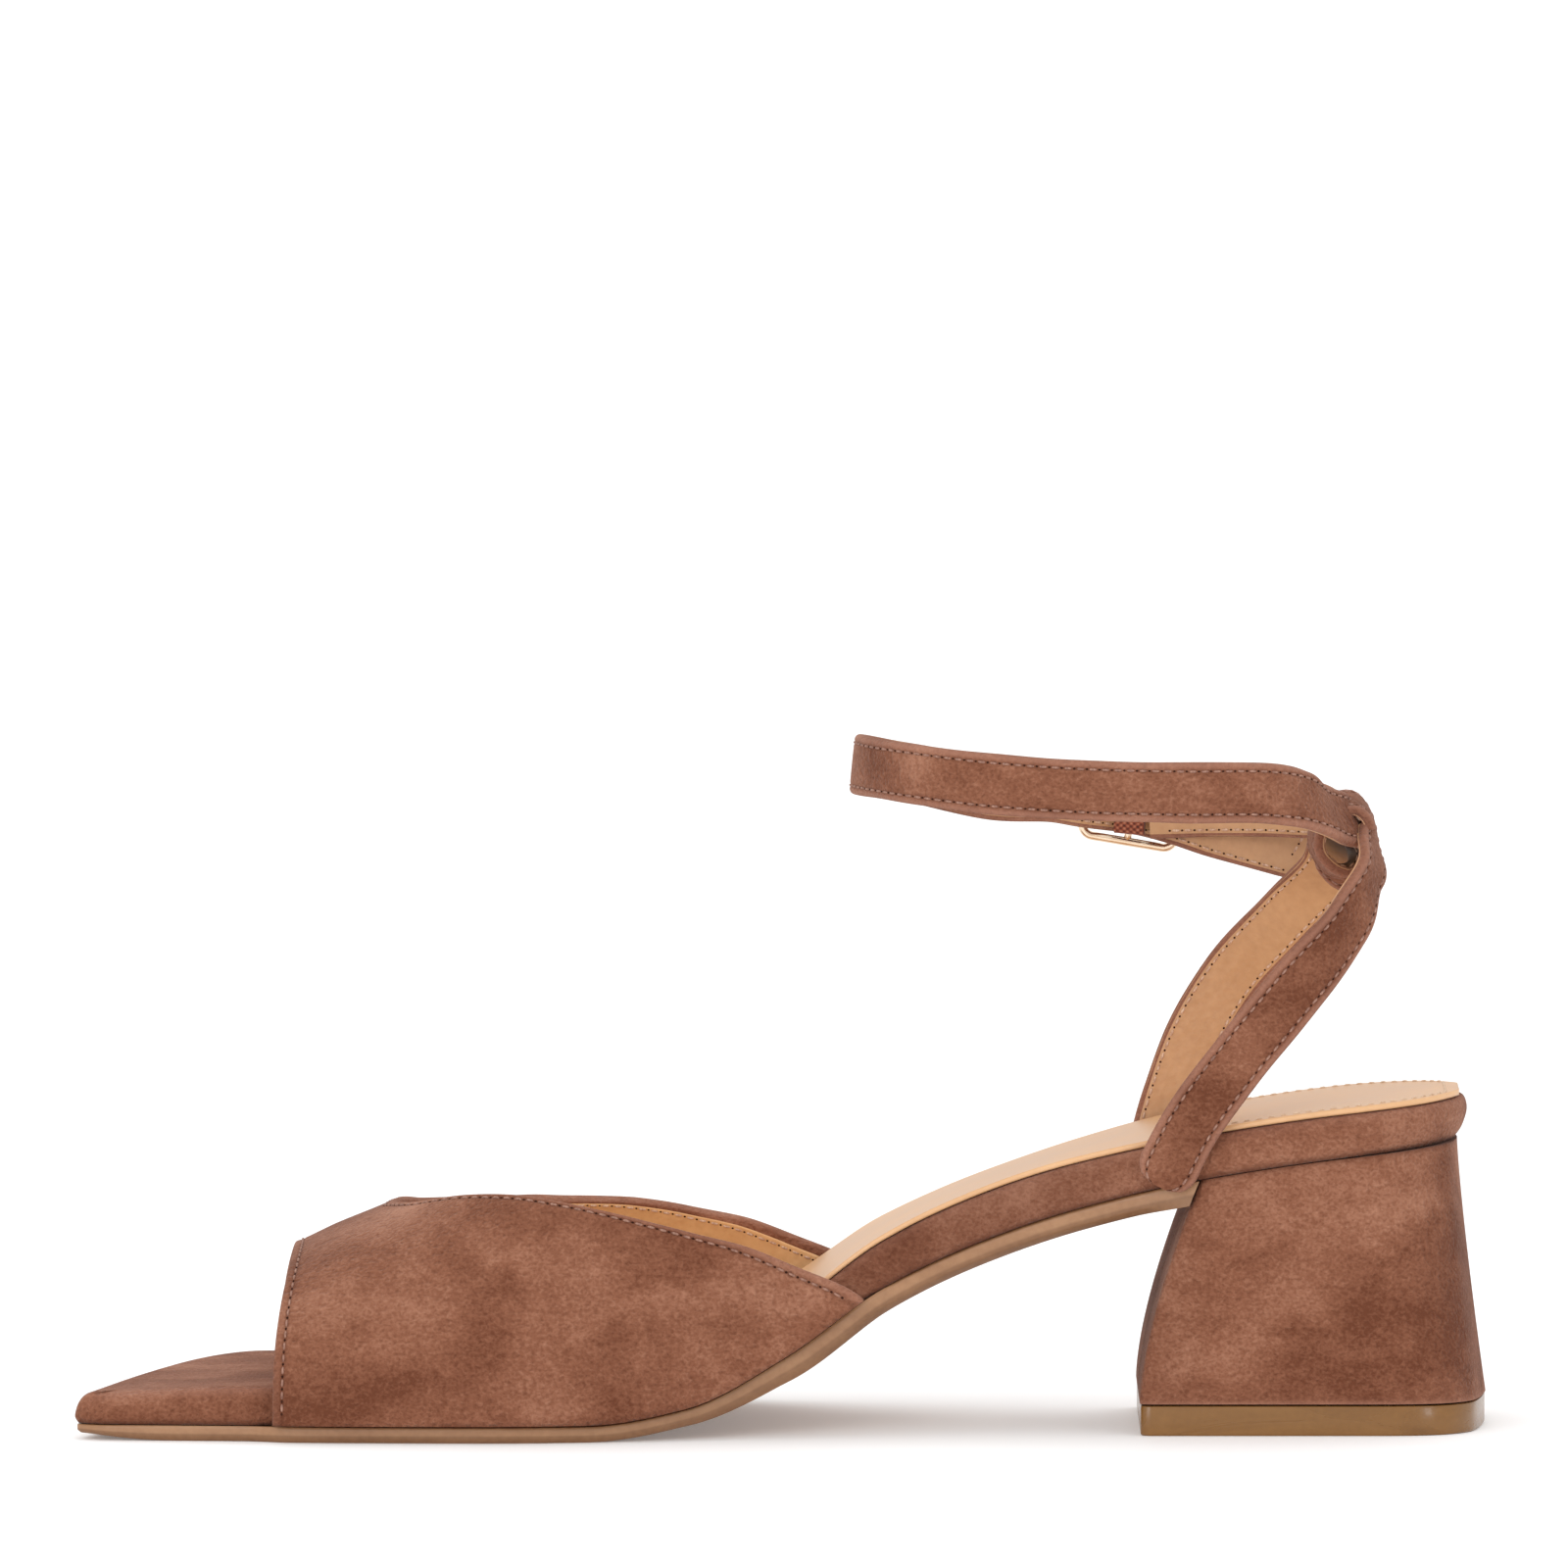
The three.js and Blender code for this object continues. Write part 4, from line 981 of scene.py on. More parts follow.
# Direction out through the wall and direction back along it
def vampFrame(back, over):
    step = 0.004
    alongA = vampPoint(np.maximum(back - step, 0), over)
    alongB = vampPoint(np.minimum(back + step, 1), over)
    roundA = vampPoint(back, np.maximum(over - step, 0.0005))
    roundB = vampPoint(back, np.minimum(over + step, 0.9995))
    normal = unit(np.cross(roundB - roundA, alongB - alongA))
    lean = np.where((over < 0.001) | (over > 0.999), 0, normal[..., 2])
    outwards = -unit(np.stack([normal[..., 0] * 0.35, normal[..., 1], lean], -1))
    run = alongB - alongA
    run = unit(run - outwards * np.sum(run * outwards, -1, keepdims=True))
    return outwards, run


# Length of the wall from front to topline, summed over short pieces
def vampLength(over):
    back = np.linspace(0, 1, 60)[:, None]
    points = vampPoint(np.broadcast_to(back, (60, len(over))), np.broadcast_to(over, (60, len(over))))
    return np.linalg.norm(np.diff(points, axis=0), axis=-1).sum(axis=0)


# Places from front to topline with close rows at both edges: start and end in millimetres from them
def vampRows(over, start, end, near=(0.25, 0.5, 0.8, 1.1, 1.4, 1.8, 2.3, 3.0), middle=44):
    length = vampLength(over)[None, :]
    near = np.array(near)[:, None]
    first = (start + near) / length
    final = 1 - (end + near[::-1]) / length
    k = np.linspace(0, 1, middle + 2)[1:-1][:, None]
    between = mix(first[-1:], final[:1], k)
    back = np.concatenate([start / length, first, between, final, 1 - end / length])
    return back, back * length, (1 - back) * length


# Outer wall: the foot's surface moved out by the wall, less stitch grooves, its edges turned round
# half a circle onto the inner face
def makeVampWall(v):
    over = mix(0.0005, 0.9995, np.linspace(0, 1, 190))
    half = v["wall"] / 2
    back, fromFront, fromTop = vampRows(over, half, half)
    overs = np.broadcast_to(over, back.shape)
    outwards, run = vampFrame(back, overs)
    foot = vampPoint(back, overs)
    groove = np.exp(-((fromFront - v["frontStitch"]) / 0.4) ** 2)
    groove = groove + np.exp(-((fromTop - v["toplineStitch"]) / 0.45) ** 2)
    swell = np.exp(-((fromTop - 0.7) / 0.6) ** 2) * 0.12
    fromEdge = np.minimum(fromFront, fromTop)
    ease = smooth(fromEdge, half, half + 0.6)
    outer = foot + outwards * (v["wall"] - (groove * 0.17 - swell) * ease)[..., None]
    depth = mix(v["wall"], v["suedeDepth"], smooth(fromEdge, v["fold"], v["fold"] + 0.4))
    inner = foot + outwards * (v["wall"] - depth)[..., None]
    turn = np.linspace(0, np.pi, 11)[1:-1][:, None, None]

    def rim(row, way):
        centre = foot[row] + outwards[row] * half
        return centre + outwards[row] * half * np.cos(turn) + way * run[row] * half * np.sin(turn)

    points = np.concatenate([outer, rim(-1, 1), inner[::-1], rim(0, -1)[::-1]])
    points = np.swapaxes(points, 0, 1)
    nearTop = np.exp(-((fromTop - 0.4) / 0.9) ** 2)
    nearFront = np.exp(-((fromFront - 0.4) / 0.8) ** 2)
    face = np.maximum(nearTop * 0.4, nearFront * 0.12)
    rimTop, rimFront = np.full((9, len(over)), 0.3), np.full((9, len(over)), 0.1)
    wearAndHighlight = np.concatenate([face, rimTop, face[::-1] * 0.6, rimFront])
    pit = np.concatenate([groove * 0.35, rimTop * 0, groove[::-1] * 0, rimFront * 0])
    addPiece(
        "vampSuede", points, closedGrid(points), suede, "vamp",
        {"wearAndHighlight": np.swapaxes(wearAndHighlight, 0, 1), "seamAndShade": np.swapaxes(pit, 0, 1)})


# Lining: a thin sheet just inside the wall, from one turned edge to the other
def makeVampLining(v):
    over = mix(0.004, 0.996, np.linspace(0, 1, 150))
    start = v["fold"] - 0.1
    back, fromFront, fromTop = vampRows(over, start, start, (0.15, 0.3, 0.6, 1.2, 2.0), 40)
    overs = np.broadcast_to(over, back.shape)
    outwards, run = vampFrame(back, overs)
    foot = vampPoint(back, overs)
    near = np.minimum(fromFront, fromTop) - start
    roundOff = 0.25 * (1 - endRound(near, 0.3))
    low = foot + outwards * (v["wall"] - v["suedeDepth"] + 0.05)
    high = foot - outwards * (0.12 - roundOff)[..., None]
    points = np.swapaxes(np.concatenate([low, high[::-1]]), 0, 1)
    edge = np.exp(-(near / 0.35) ** 2)
    wearAndHighlight = np.swapaxes(np.concatenate([edge * 0, edge[::-1] * 0.8]), 0, 1)
    faces = closedGrid(points)
    addPiece("vampLining", points, faces, vampLiningLeather, None, {"wearAndHighlight": wearAndHighlight}, sharp=50)


makeVampWall(vamp)
makeVampLining(vamp)
print("vamp")


# Stitches: a row is a path on a surface with the direction out of it
stitch = {
    "pitch": 2.15,
    "share": 0.58,         # of the pitch that a stitch covers
    "radius": 0.22,
    "hole": 1.2,
    "around": 6,
    "steps": 7,
    "rowStart": 0.6,
    "rowEnd": 2.4,
}


# Length of a path up to each of its points
def arcOf(path):
    return np.concatenate([[0], np.cumsum(np.linalg.norm(np.diff(path, axis=0), axis=-1))])


# Place, direction out, run and direction aside at given lengths of a row
def sampleRow(path, out, at):
    arc = arcOf(path)
    place = np.stack([np.interp(at, arc, path[:, c]) for c in range(3)], -1)
    normal = unit(np.stack([np.interp(at, arc, out[:, c]) for c in range(3)], -1))
    ahead = np.stack([np.interp(at + 0.3, arc, path[:, c]) for c in range(3)], -1)
    behind = np.stack([np.interp(at - 0.3, arc, path[:, c]) for c in range(3)], -1)
    run = unit(ahead - behind)
    return place, normal, run, np.cross(normal, run)


# Each stitch: a round section carried along an arch that dips into the leather at both ends
def threadGrid(path, out, s, start=0.0, stop=0.0):
    length = arcOf(path)[-1]
    count = max(int((length - start - stop) / s["pitch"]), 1)
    at = start + (np.arange(count) + 0.5) * s["pitch"]
    u = np.linspace(-1, 1, s["steps"])
    along = at[:, None] + u * s["pitch"] * s["share"] / 2
    sampled = sampleRow(path, out, along.ravel())
    place, normal, _, aside = (v.reshape(count, len(u), 1, 3) for v in sampled)
    turn = np.linspace(0, 2 * np.pi, s["around"], endpoint=False)
    taper = np.sqrt(1 - (u * 0.93) ** 2)[None, :, None, None]
    lift = (0.28 - 0.75 * u ** 4)[None, :, None, None] * s["radius"]
    ring = np.cos(turn)[:, None] * aside + np.sin(turn)[:, None] * normal
    return place + normal * lift + ring * s["radius"] * mix(0.55, 1, taper)


# Each hole: a flat round dimple between two stitches, a hair above the surface, dark as painted shade
def holeGrid(path, out, s, start=0.0, stop=0.0):
    length = arcOf(path)[-1]
    count = max(int((length - start - stop) / s["pitch"]), 1) + 1
    at = start + np.arange(count) * s["pitch"]
    place, normal, run, aside = (v.reshape(count, 1, 1, 3) for v in sampleRow(path, out, at))
    turn = np.linspace(0, 2 * np.pi, 8, endpoint=False)[:, None]
    radius = np.array([0.0, 0.62, 1.0])[None, :, None, None] * s["radius"] * s["hole"]
    lift = np.array([0.06, 0.05, -0.12])[None, :, None, None]
    return place + normal * lift + radius * (np.cos(turn) * run * 1.15 + np.sin(turn) * aside)


# All small closed grids of a piece in one mesh, their end rows filled
def joinGrids(name, grids, material):
    points, faces, start = [], [], 0
    for grid in grids:
        count, rows, columns = grid.shape[:3]
        one = gridFaces(rows, columns, closedColumns=True)
        many = one[None] + (np.arange(count) * rows * columns)[:, None, None] + start
        faces += many.reshape(-1, 4).tolist()
        base = start + np.arange(count)[:, None] * rows * columns
        faces += (base + np.arange(columns)).tolist()
        faces += (base + (rows - 1) * columns + np.arange(columns)).tolist()
        points.append(grid.reshape(-1, 3))
        start += count * rows * columns
    addPiece(name, np.concatenate(points), faces, material)


# Rows over the foot at a distance from the front and the top edge: outside on the suede, and
# inside where the turned suede meets the lining
def vampStitchPaths(v):
    rows = []
    over = mix(0.012, 0.988, np.linspace(0, 1, 400))
    length = vampLength(over)
    for back in (v["frontStitch"] / length, 1 - v["toplineStitch"] / length):
        outwards, _ = vampFrame(back, over)
        rows.append((vampPoint(back, over) + outwards * (v["wall"] - 0.1), outwards))
    inside = []
    for back in ((v["fold"] + 1.0) / length, 1 - (v["fold"] + 1.0) / length):
        outwards, _ = vampFrame(back, over)
        inside.append((vampPoint(back, over) - outwards * 0.1, -outwards))
    return rows, inside


vampRowsOut, vampRowsIn = vampStitchPaths(vamp)


# Straps: a section carried along a route from the insole's side up to the crossing
strap = {
    "width": 10.4,
    "thickness": 1.9,
    "seat": 186.5,
    "ankleHeight": 111.6,
    "loopLength": 83.2,
    "loopWidth": 62.0,
    "knotHeight": 101.6,
    "knotFromBack": 22.0,
    "knotReach": 5.2,
    "fold": 0.3,
    "knotShade": 7.5,      # painted shade: the strap lining is drawn darker within this reach of the knot's middle, where the straps shade it
    "stitchIn": 1.5,
    "liningStitchIn": 1.35,
    "footNarrow": 0.35,
    "footRound": 0.4,      # of the width
    "endRow": 2.6,
    # back, rise and side as shares from the seat to the knot, then the direction across the strap
    "medialRiser": [
        (0.0, 0.0, 1.0, 0.81, 0, -0.59), (0.17, 0.18, 1.03, 0.82, 0, -0.57),
        (0.425, 0.37, 1.06, 0.79, 0, -0.61), (0.7, 0.55, 0.98, 0.79, 0.12, -0.6),
        (1.04, 0.77, 0.7, 0.62, 0.6, -0.45), (1.16, 0.91, 0.44, 0.3, 0.93, -0.12),
    ],
    "lateralRiser": [
        (0.0, 0.0, 1.0, 0.9, 0, -0.42), (0.09, 0.18, 1.04, 0.93, 0, -0.37), (0.22, 0.37, 1.06, 0.9, 0, -0.44),
        (0.42, 0.55, 1.02, 0.79, 0, -0.62), (0.71, 0.73, 0.78, 0.76, -0.1, -0.64),
        (0.95, 0.89, 0.4, 0.7, 0.3, -0.64),
    ],
    # back, side and rise from the knot's middle in shares of its reach, then the direction across
    "knotTurn": [
        (0.98, -0.75, 0.05, 0.08, 0.97, 0.1), (0.88, -0.74, 0.62, -0.06, 0.98, 0.16),
        (0.42, -0.72, 1.08, -0.14, 0.95, 0.26), (-0.25, -0.68, 1.0, -0.05, 0.97, 0.2),
        (-0.74, -0.6, 0.3, -0.1, 0.98, 0.08), (-0.78, -0.5, -0.45, -0.1, 0.98, -0.05),
        (-0.25, -0.2, -1.08, -0.02, 0.97, -0.12), (0.4, 0.45, -1.1, 0.2, 0.9, -0.3),
        (0.5, 1.3, -0.4, 0.4, 0.7, -0.6),
    ],
    # forward share of the loop, side share of its half width, millimetres up, then the direction across
    "tab": [
        (0.0, 0.44, -7.6, 0.3, 0.35, -0.88), (0.1, 0.68, -7.0, 0.05, 0.1, -1),
        (0.24, 0.85, -7.2, 0, 0.04, -1), (0.39, 0.9, -7.6, 0, 0, -1),
    ],
    "loop": [
        (0.0, 0.13, -10.8, 0.5, 0.4, -0.76), (-0.034, -0.12, -7.8, 0.5, 0.1, -0.85),
        (0.018, -0.4, -5.6, 0.42, -0.1, -0.9), (0.07, -0.63, -2.7, 0.22, -0.1, -0.96),
        (0.15, -0.82, -1.0, 0.05, -0.05, -1), (0.34, -0.97, -0.5, 0, 0, -1),
        (0.54, -1.0, 0.0, 0, 0, -1), (0.74, -0.92, 1.0, 0, 0, -1), (0.88, -0.7, 2.0, 0, 0, -1),
        (0.968, -0.36, 2.4, 0, 0.04, -1), (1.0, 0.0, 2.2, -0.1, 0, -1), (0.968, 0.36, 1.0, 0, -0.05, -1),
        (0.87, 0.7, -1.2, 0.05, -0.05, -1), (0.72, 0.9, -4.3, 0.08, 0, -1),
    ],
    # along the buckle, weave over and under its wires, drop
    "freeEnd": [
        (-0.8, -1.25, 0.0), (-0.5, -1.3, 0.0), (0.0, 1.1, 0.0),
        (0.5, -1.3, 0.02), (0.85, -1.5, 0.075), (1.72, -2.6, 0.16),
    ],
}
buckle = {
    "length": 17.6,
    "height": 14.2,
    "wire": 1.5,
    "corner": 2.0,
    "barShare": 0.86,
    "share": 0.424,
    "drop": 7.3,
    "slope": 0.17,
    "prongWire": 1.2,
    "prongBow": 0.7,
    "prongPast": 0.9,      # the tip reaches past the frame's front wire
    "topTrim": 0.9,        # the top wire sits closer to the strap than the lower one
    "elasticWidth": 9.4,
    "elasticThickness": 1.1,
    "elasticPastBar": 3.0,
    "elasticRelief": 0.09,
}
knotMiddle = np.array([last["length"] - strap["knotFromBack"], 0.0, strap["knotHeight"]])
buckleMiddle = np.array([
    knotMiddle[0] - buckle["share"] * strap["loopLength"],
    strap["loopWidth"] / 2 + 1,
    strap["ankleHeight"] - buckle["drop"],
])


# From the foot beside the insole to the knot's middle, by shares of the way
def riserPoints(rows, side):
    rows = np.array(rows)
    reach = strap["width"] * 0.7
    widest = max(abs(float(plan(strap["seat"] + d, side))) for d in (-reach, 0.0, reach))
    footSide = side * (widest + gap + strap["thickness"] / 2)
    footHeight = float(featherHeight(strap["seat"])) + 0.6
    return np.stack([
        mix(strap["seat"], knotMiddle[0], rows[:, 0]),
        footSide * rows[:, 2],
        mix(footHeight, knotMiddle[2], rows[:, 1]),
    ], -1)


# The turn round the other strap: shares of the knot's reach from its middle
def turnPoints():
    rows = np.array(strap["knotTurn"])
    return knotMiddle * [1, 0, 1] + rows[:, :3] * strap["knotReach"]


# Round the ankle: shares of the loop forwards and sideways, millimetres up
def loopPoints(rows):
    rows = np.array(rows)
    return np.stack([
        knotMiddle[0] - rows[:, 0] * strap["loopLength"],
        rows[:, 1] * strap["loopWidth"] / 2,
        strap["ankleHeight"] + rows[:, 2],
    ], -1)


# Through the buckle: along its slope, over and under its wires, then down and away
def freeEndPoints():
    rows = np.array(strap["freeEnd"])
    weave = buckle["wire"] / 2 + strap["thickness"] / 2 + gap
    return np.stack([
        buckleMiddle[0] + rows[:, 0] * buckle["length"],
        buckleMiddle[1] + rows[:, 1] * weave,
        buckleMiddle[2] - (rows[:, 0] * buckle["slope"] + rows[:, 2]) * buckle["length"],
    ], -1)


# A route through the points at even steps of its length: centripetal spline pieces; also gives
# where each step lies among the points, as a share
def smoothRoute(points, step):
    points = np.asarray(points, float)
    around = np.concatenate([2 * points[:1] - points[1:2], points, 2 * points[-1:] - points[-2:-1]])
    p0, p1, p2, p3 = around[:-3], around[1:-2], around[2:-1], around[3:]
    pairs = ((p0, p1), (p1, p2), (p2, p3))
    d0, d1, d2 = (np.sqrt(np.linalg.norm(b - a, axis=-1))[:, None] for a, b in pairs)
    t1 = ((p1 - p0) / d0 - (p2 - p0) / (d0 + d1) + (p2 - p1) / d1) * d1
    t2 = ((p2 - p1) / d1 - (p3 - p1) / (d1 + d2) + (p3 - p2) / d2) * d1
    k = np.linspace(0, 1, 60, endpoint=False)[None, :, None]
    a, b, ta, tb = (v[:, None, :] for v in (p1, p2, t1, t2))
    fine = a + ta * k + (-3 * a + 3 * b - 2 * ta - tb) * k ** 2 + (2 * a - 2 * b + ta + tb) * k ** 3
    fine = fine.reshape(-1, 3)
    share = np.linspace(0, 1, len(fine) + 1)
    fine = np.concatenate([fine, points[-1:]])
    arc = arcOf(fine)
    at = np.linspace(0, arc[-1], max(int(arc[-1] / step), 2) + 1)
    route = np.stack([np.interp(at, arc, fine[:, c]) for c in range(3)], -1)
    return route, np.interp(at, arc, share), at


# Direction across the strap, turned smoothly from row to row, square to the run; and out of its face
def routeFrame(route, share, across):
    across = unit(np.asarray(across, float))
    place = share * (len(across) - 1)
    i = np.minimum(place.astype(int), len(across) - 2)
    k = (place - i)[:, None]
    k = k * k * (3 - 2 * k)
    direction = mix(across[i], across[i + 1], k)
    run = unit(np.gradient(route, axis=0))
    direction = unit(direction - run * np.sum(direction * run, -1, keepdims=True))
    return run, direction, np.cross(direction, run)


# The strap's suede: its outer face slightly full with a sunk stitch line, its edges turned round
# onto the inner face, where the lining lies between them
def suedeProfile(s):
    half, t = s["width"] / 2, s["thickness"] / 2
    nearEdge, middle = np.linspace(-half + t, -half + 2.2, 9), np.linspace(-half + 2.6, half - 2.6, 9)
    a = np.concatenate([nearEdge, middle, np.linspace(half - 2.2, half - t, 9)])
    groove = np.exp(-((half - np.abs(a) - s["stitchIn"]) / 0.32) ** 2)
    top = t - 0.16 * groove + 0.06 * (1 - (a / half) ** 2)
    turn = np.linspace(np.pi / 2, -np.pi / 2, 11)[1:-1]
    right = np.stack([half - t + t * np.cos(turn), t * np.sin(turn)], -1)
    lip = half - s["fold"]
    under = np.array([half - t, lip, lip - 0.15, 0, -lip + 0.15, -lip, -half + t])
    level = np.array([-t, -t, -0.35, -0.35, -0.35, -t, -t])
    left = right[::-1] * [-1, 1]
    loop = np.concatenate([np.stack([a, top], -1), right, np.stack([under, level], -1), left])
    edge = np.exp(-((half - np.abs(loop[:, 0]) - 0.5) / 0.6) ** 2)
    seamAndShade = np.exp(-((half - np.abs(loop[:, 0]) - s["stitchIn"]) / 0.3) ** 2) * (loop[:, 1] > 0)
    return loop, edge, seamAndShade


# The strap's lining: a flat face with its edges dipped, and a straight back inside the suede
def liningProfile(s):
    half = s["width"] / 2 - s["fold"] + 0.02
    low, high = -s["thickness"] / 2 - 0.08, -0.3
    a = np.linspace(-half, half, 15)
    dip = 0.2 * (np.abs(a) / half) ** 12
    face = np.stack([a, low + dip], -1)
    return np.concatenate([face, np.array([[half, high], [-half, high]])])


# The profile carried along the route; facing turns its suede side out, and scale narrows its foot
def carried(route, direction, out, profile, facing, scale):
    a = profile[None, :, 0, None] * scale[:, None, None]
    b = profile[None, :, 1, None] * facing
    return route[:, None, :] + direction[:, None, :] * a + out[:, None, :] * b


# One strap: suede and lining carried along the route, its foot narrowed, its end cut at a slant;
# gives the rows of stitches on both faces
def makeStrap(name, points, across, facing, slant=0.0):
    route, share, at = smoothRoute(points, 0.75)
    run, direction, out = routeFrame(route, share, across)
    lead = run * (smooth(at, at[-1] - 9, at[-1]) * slant)[:, None]
    scale = mix(strap["footNarrow"], 1, endRound(at, strap["width"] * strap["footRound"]))
    wobble = 1 + 0.010 * np.sin(at / 6.3 + 1.1) + 0.007 * np.sin(at / 2.7 + facing)
    loop, edge, seamAndShade = suedeProfile(strap)
    shear = lead[:, None, :] * (loop[None, :, 0, None] / strap["width"] * -2)
    grid = carried(route, direction, out, loop, facing, scale * wobble) + shear
    seamAndShade = np.broadcast_to(seamAndShade * 0.3, grid.shape[:2])
    if facing < 0:
        # painted shade on the part that lies inside the other strap's turn
        near = np.exp(-(np.linalg.norm(grid - knotMiddle, axis=-1) / strap["knotShade"]) ** 4)
        seamAndShade = np.maximum(seamAndShade, 0.8 * near * smooth(grid[:, :, 1], -10.5, -7))
    wearAndHighlight = np.broadcast_to(edge * 0.5, grid.shape[:2])
    marks = {"wearAndHighlight": wearAndHighlight, "seamAndShade": seamAndShade}
    addPiece(name + "Suede", grid, closedGrid(grid), suede, "back_straps", marks, sharp=50)
    inner = liningProfile(strap)
    shear = lead[:, None, :] * (inner[None, :, 0, None] / strap["width"] * -2)
    grid = carried(route, direction, out, inner, facing, scale) + shear
    # painted shade: the lining is drawn near black within reach of the knot's middle
    depth = 0.92 * np.exp(-(np.linalg.norm(grid - knotMiddle, axis=-1) / strap["knotShade"]) ** 4)
    addPiece(
        name + "Lining", grid, closedGrid(grid), strapLiningLeather, None,
        {"seamAndShade": depth}, sharp=50)
    t = strap["thickness"] / 2
    outside, inside = [], []
    for side in (-1, 1):
        a = side * (strap["width"] / 2 - strap["stitchIn"]) * scale[:, None]
        outside.append((route + direction * a + out * facing * (t - 0.1), out * facing))
        a = side * (strap["width"] / 2 - strap["liningStitchIn"]) * scale[:, None]
        inside.append((route + direction * a - out * facing * (t + 0.06), -out * facing))
    i = int(np.searchsorted(at, at[-1] - strap["endRow"]))
    a = np.linspace(-1, 1, 30)[:, None] * (strap["width"] / 2 - strap["liningStitchIn"])
    ending = route[i] + direction[i] * a + run[i] * slant * a / strap["width"] * -2
    outside.append((ending + out[i] * facing * (t - 0.05), np.tile(out[i] * facing, (30, 1))))
    inside.append((ending - out[i] * facing * (t + 0.06), np.tile(-out[i] * facing, (30, 1))))
    return outside, inside


# The last three columns of the named tables: the direction across the strap
def acrossRows(*names):
    return np.concatenate([np.array(strap[name])[:, 3:6] for name in names])


buckleStrapPoints = np.concatenate([
    riserPoints(strap["medialRiser"], -1), turnPoints(), loopPoints(strap["tab"])])
buckleStrapAcross = acrossRows("medialRiser", "knotTurn", "tab")
ankleStrapPoints = np.concatenate([
    riserPoints(strap["lateralRiser"], 1), loopPoints(strap["loop"]), freeEndPoints()])
downwards = np.tile([-buckle["slope"], 0.0, -1.0], (len(strap["freeEnd"]), 1))
ankleStrapAcross = np.concatenate([acrossRows("lateralRiser", "loop"), downwards])
buckleRowsOut, buckleRowsIn = makeStrap("buckleStrap", buckleStrapPoints, buckleStrapAcross, 1)
ankleRowsOut, ankleRowsIn = makeStrap("ankleStrap", ankleStrapPoints, ankleStrapAcross, -1, slant=1.6)
print("straps")


# Buckle: wire frame with a bar, a prong, and the elastic that holds the bar
# A place in the buckle's sloping plane, along and up from its middle
def onBuckle(along, up):
    along, up = np.asarray(along, float), np.asarray(up, float)
    slope = buckle["slope"]
    x = buckleMiddle[0] + along + up * slope
    return np.stack([x, buckleMiddle[1] + along * 0, buckleMiddle[2] + up - along * slope], -1)


# A round wire along a route, its end rings drawn in to a soft tip
def wireGrid(route, radius, axis, closed=False, tips=0):
    ahead = np.roll(route, -1, axis=0) - np.roll(route, 1, axis=0) if closed else np.gradient(route, axis=0)
    run = unit(ahead)
    a = unit(np.asarray(axis, float) - run * np.sum(run * axis, -1, keepdims=True))
    b = np.cross(a, run)
    turn = np.linspace(0, 2 * np.pi, 20, endpoint=False)[None, :, None]
    r = np.full(len(route), radius)
    if tips:
        near = arcOf(route)
        r = r * np.sqrt(1 - np.clip(1 - np.minimum(near, near[-1] - near) / tips, 0, 0.97) ** 2)
    around = np.cos(turn) * a[:, None, :] + np.sin(turn) * b[:, None, :]
    return route[:, None, :] + around * r[:, None, None]


# Frame: wire round a rectangle with round corners, with a bar across its middle. Prong: a wire
# from the bar to past the front wire, bowed outwards by a half sine
def makeBuckle(b):
    halfLength, halfHeight = (b["length"] - b["wire"]) / 2, (b["height"] - b["wire"]) / 2
    corner = b["corner"]
    angle = np.linspace(0, 2 * np.pi, 64, endpoint=False) + np.pi / 64
    along = np.sign(np.cos(angle)) * (halfLength - corner) + corner * np.cos(angle)
    up = np.sign(np.sin(angle)) * (halfHeight - corner) + corner * np.sin(angle)
    up = np.where(up > 0, up * (1 - b["topTrim"] / halfHeight), up)
    ring = wireGrid(onBuckle(along, up), b["wire"] / 2, (0, 1, 0), closed=True)
    barRoute = onBuckle(np.zeros(9), np.linspace(-halfHeight, halfHeight - b["topTrim"], 9))
    bar = wireGrid(barRoute, b["wire"] * b["barShare"] / 2, (0, 1, 0))
    faces = gridFaces(*ring.shape[:2], closedRows=True, closedColumns=True).tolist()
    start = ring.shape[0] * ring.shape[1]
    faces += [[v + start for v in face] for face in closedGrid(bar)]
    points = np.concatenate([ring.reshape(-1, 3), bar.reshape(-1, 3)])
    addPiece("buckleFrame", points, faces, gold, "buckle_frame")
    startX = buckleMiddle[0] - b["wire"] / 2 - gap - b["prongWire"] / 2
    tipX = buckleMiddle[0] - b["length"] / 2 - b["prongPast"]
    tipY = buckleMiddle[1] + (b["wire"] / 2 + b["prongWire"] / 2 + gap)
    k = np.linspace(0, 1, 30)
    x = mix(startX, tipX, k)
    y = mix(buckleMiddle[1], tipY, k) + np.sin(np.pi * k) * b["prongBow"]
    route = np.stack([x, y, buckleMiddle[2] + (buckleMiddle[0] - x) * b["slope"]], -1)
    prong = wireGrid(route, b["prongWire"] / 2, (0, 0, 1), tips=0.6)
    addPiece("bucklePin", prong, closedGrid(prong), gold, "buckle_prong")


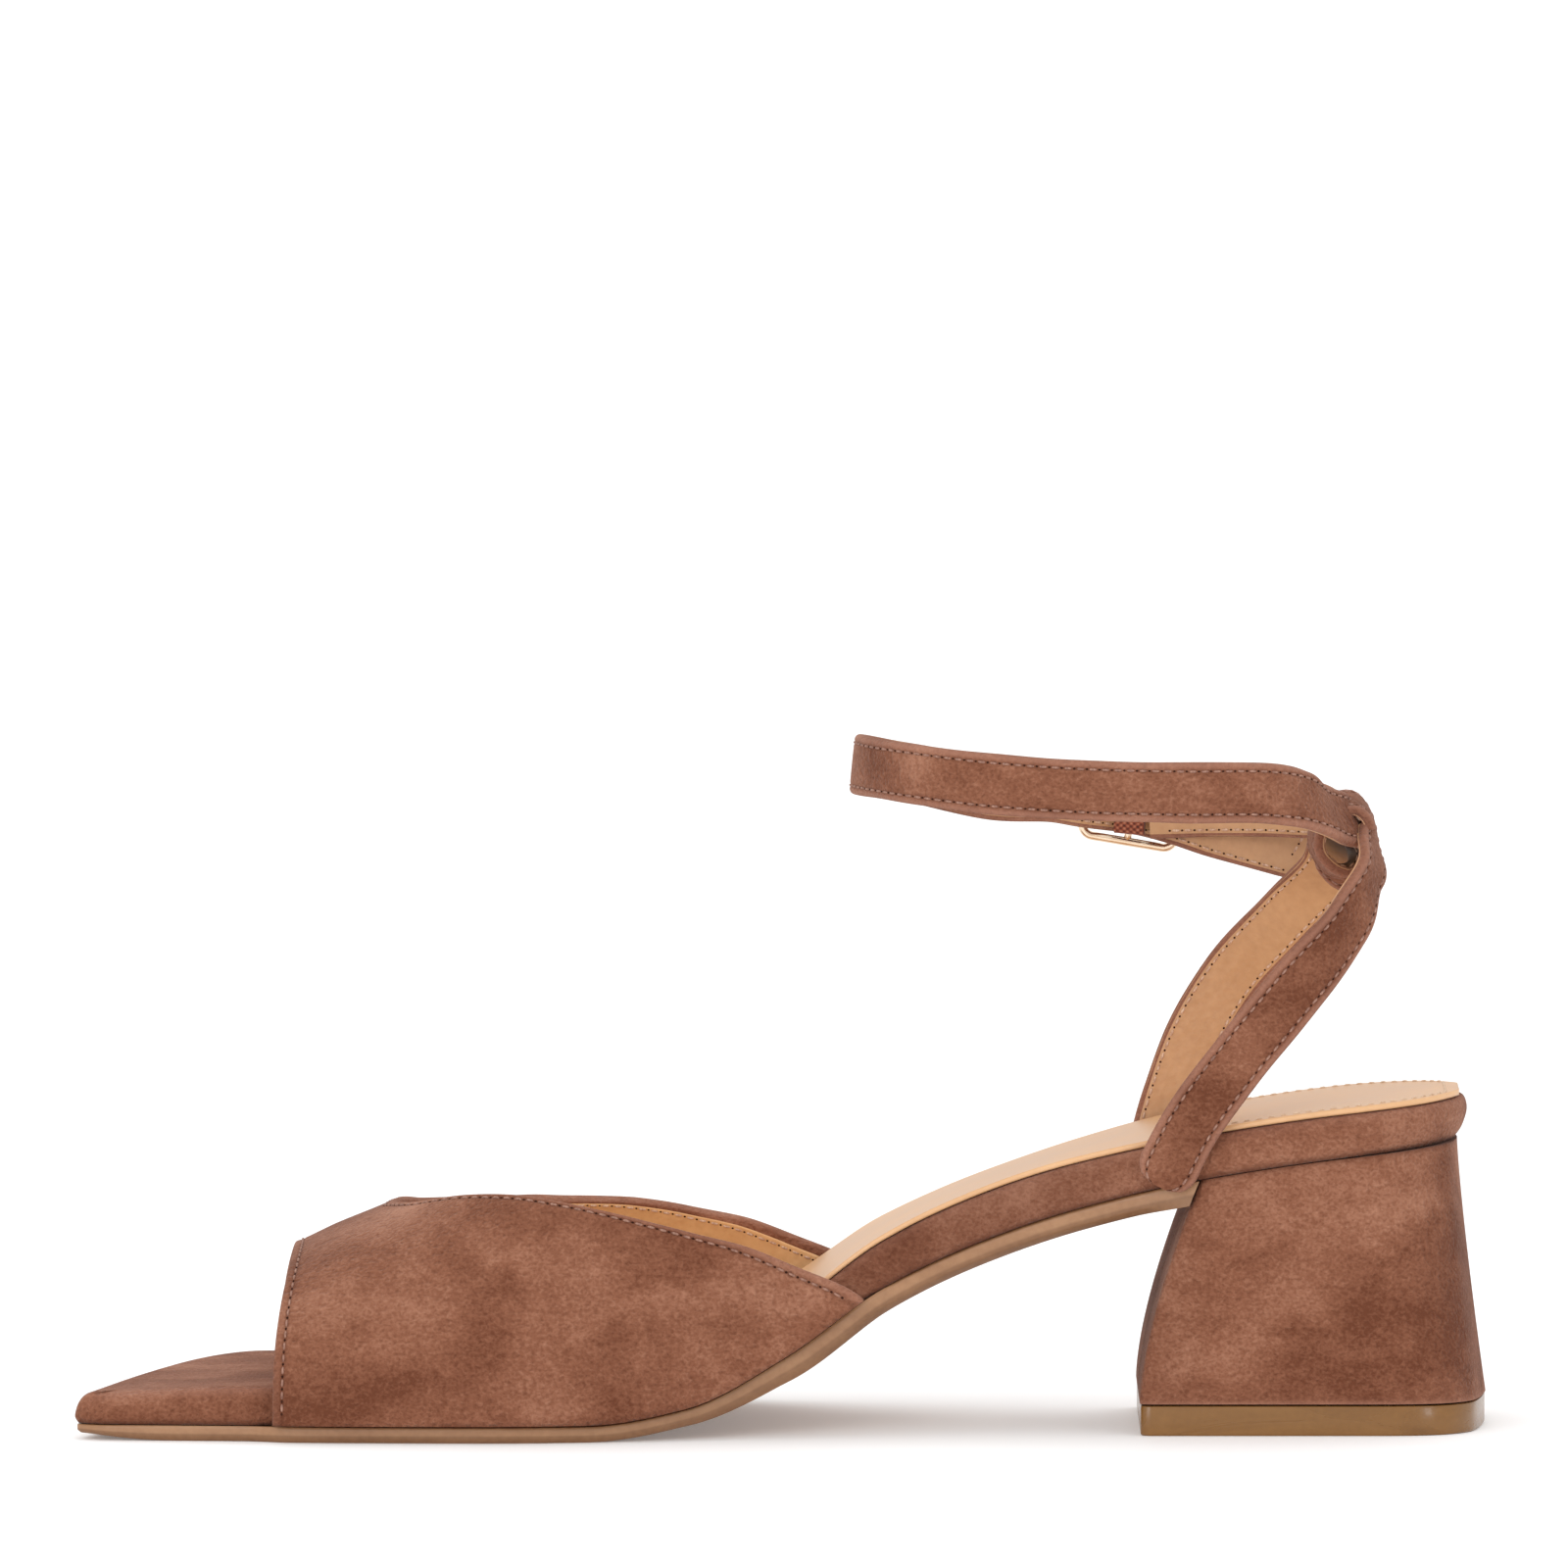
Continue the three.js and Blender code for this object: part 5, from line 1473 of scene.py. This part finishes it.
# The tape: a flat rounded section whose faces carry a woven relief of small pads
def makeElastic(b):
    tabEnd = loopPoints(strap["tab"])[-1]
    start = tabEnd - [gap + b["elasticThickness"] / 2, 0, 0]
    end = buckleMiddle - [b["elasticPastBar"], b["wire"] / 2 + gap + b["elasticThickness"] / 2, 0]
    steps, width = 110, 60
    k = np.linspace(0, 1, steps)[:, None]
    route = mix(start, end, k)
    length = float(np.linalg.norm(end - start))
    run = unit(end - start)
    across = np.array([0, 0, -1.0])
    across = unit(across - run * np.dot(across, run))
    out = np.cross(across, run)
    half, t = b["elasticWidth"] / 2, b["elasticThickness"] / 2
    a = np.linspace(-half, half, width)
    rounding = np.sqrt(1 - np.clip((np.abs(a) - half + t * 0.8) / (t * 0.8), 0, 0.98) ** 2)
    lengthways = np.sin(2 * np.pi * k * length / weavePitch[0])
    relief = b["elasticRelief"] * lengthways * np.sin(2 * np.pi * a / weavePitch[1])[None, :]
    thick = t * rounding[None, :]
    middle = route[:, None] + across * a[None, :, None]
    front = middle + out * (thick - b["elasticRelief"] + relief)[..., None]
    back = middle - out * (thick - b["elasticRelief"] - relief)[..., None]
    points = np.concatenate([front, back[:, ::-1]], axis=1)
    u = np.broadcast_to(k * length, (steps, 2 * width))
    v = np.broadcast_to(np.concatenate([a, a[::-1]]), (steps, 2 * width))
    uv = np.stack([u, v], -1)
    addPiece("elasticTape", points, closedGrid(points), elasticWeave, "buckle_elastic", None, uv)


makeBuckle(buckle)
makeElastic(buckle)
print("buckle and elastic")


# All stitches, joined by thread
suedeRows = vampRowsOut + buckleRowsOut + ankleRowsOut
liningRows = vampRowsIn + buckleRowsIn + ankleRowsIn
ends = (stitch["rowStart"], stitch["rowEnd"])
suedeGrids = [threadGrid(p, o, stitch, *ends) for p, o in suedeRows]
liningGrids = [threadGrid(p, o, stitch, *ends) for p, o in liningRows]
joinGrids("suedeStitches", suedeGrids, suedeThread)
joinGrids("liningStitches", liningGrids, liningThread)
# dark discs of painted shade at the needle holes
holeGrids = [holeGrid(p, o, stitch, *ends) for p, o in suedeRows + liningRows]
joinGrids("stitchHoleShade", holeGrids, pinholeShade)


# Round the sock lining's seat, a little in from its edge
def sockStitchPath():
    s = stationsBetween(190.0, bottom["sockBack"] - 2.4)
    sides = []
    for side in (-1, 1):
        y = sockEdge(s, side, 2.2)
        sides.append(np.stack([s, y, sockTop(s, y) + 0.02], -1))
    path = np.concatenate([sides[0], sides[1][::-1]])
    return path, np.tile([0.0, 0.0, 1.0], (len(path), 1))


sockRow = sockStitchPath()
joinGrids("sockStitches", [threadGrid(*sockRow, stitch)], sockThread)
print("stitches")
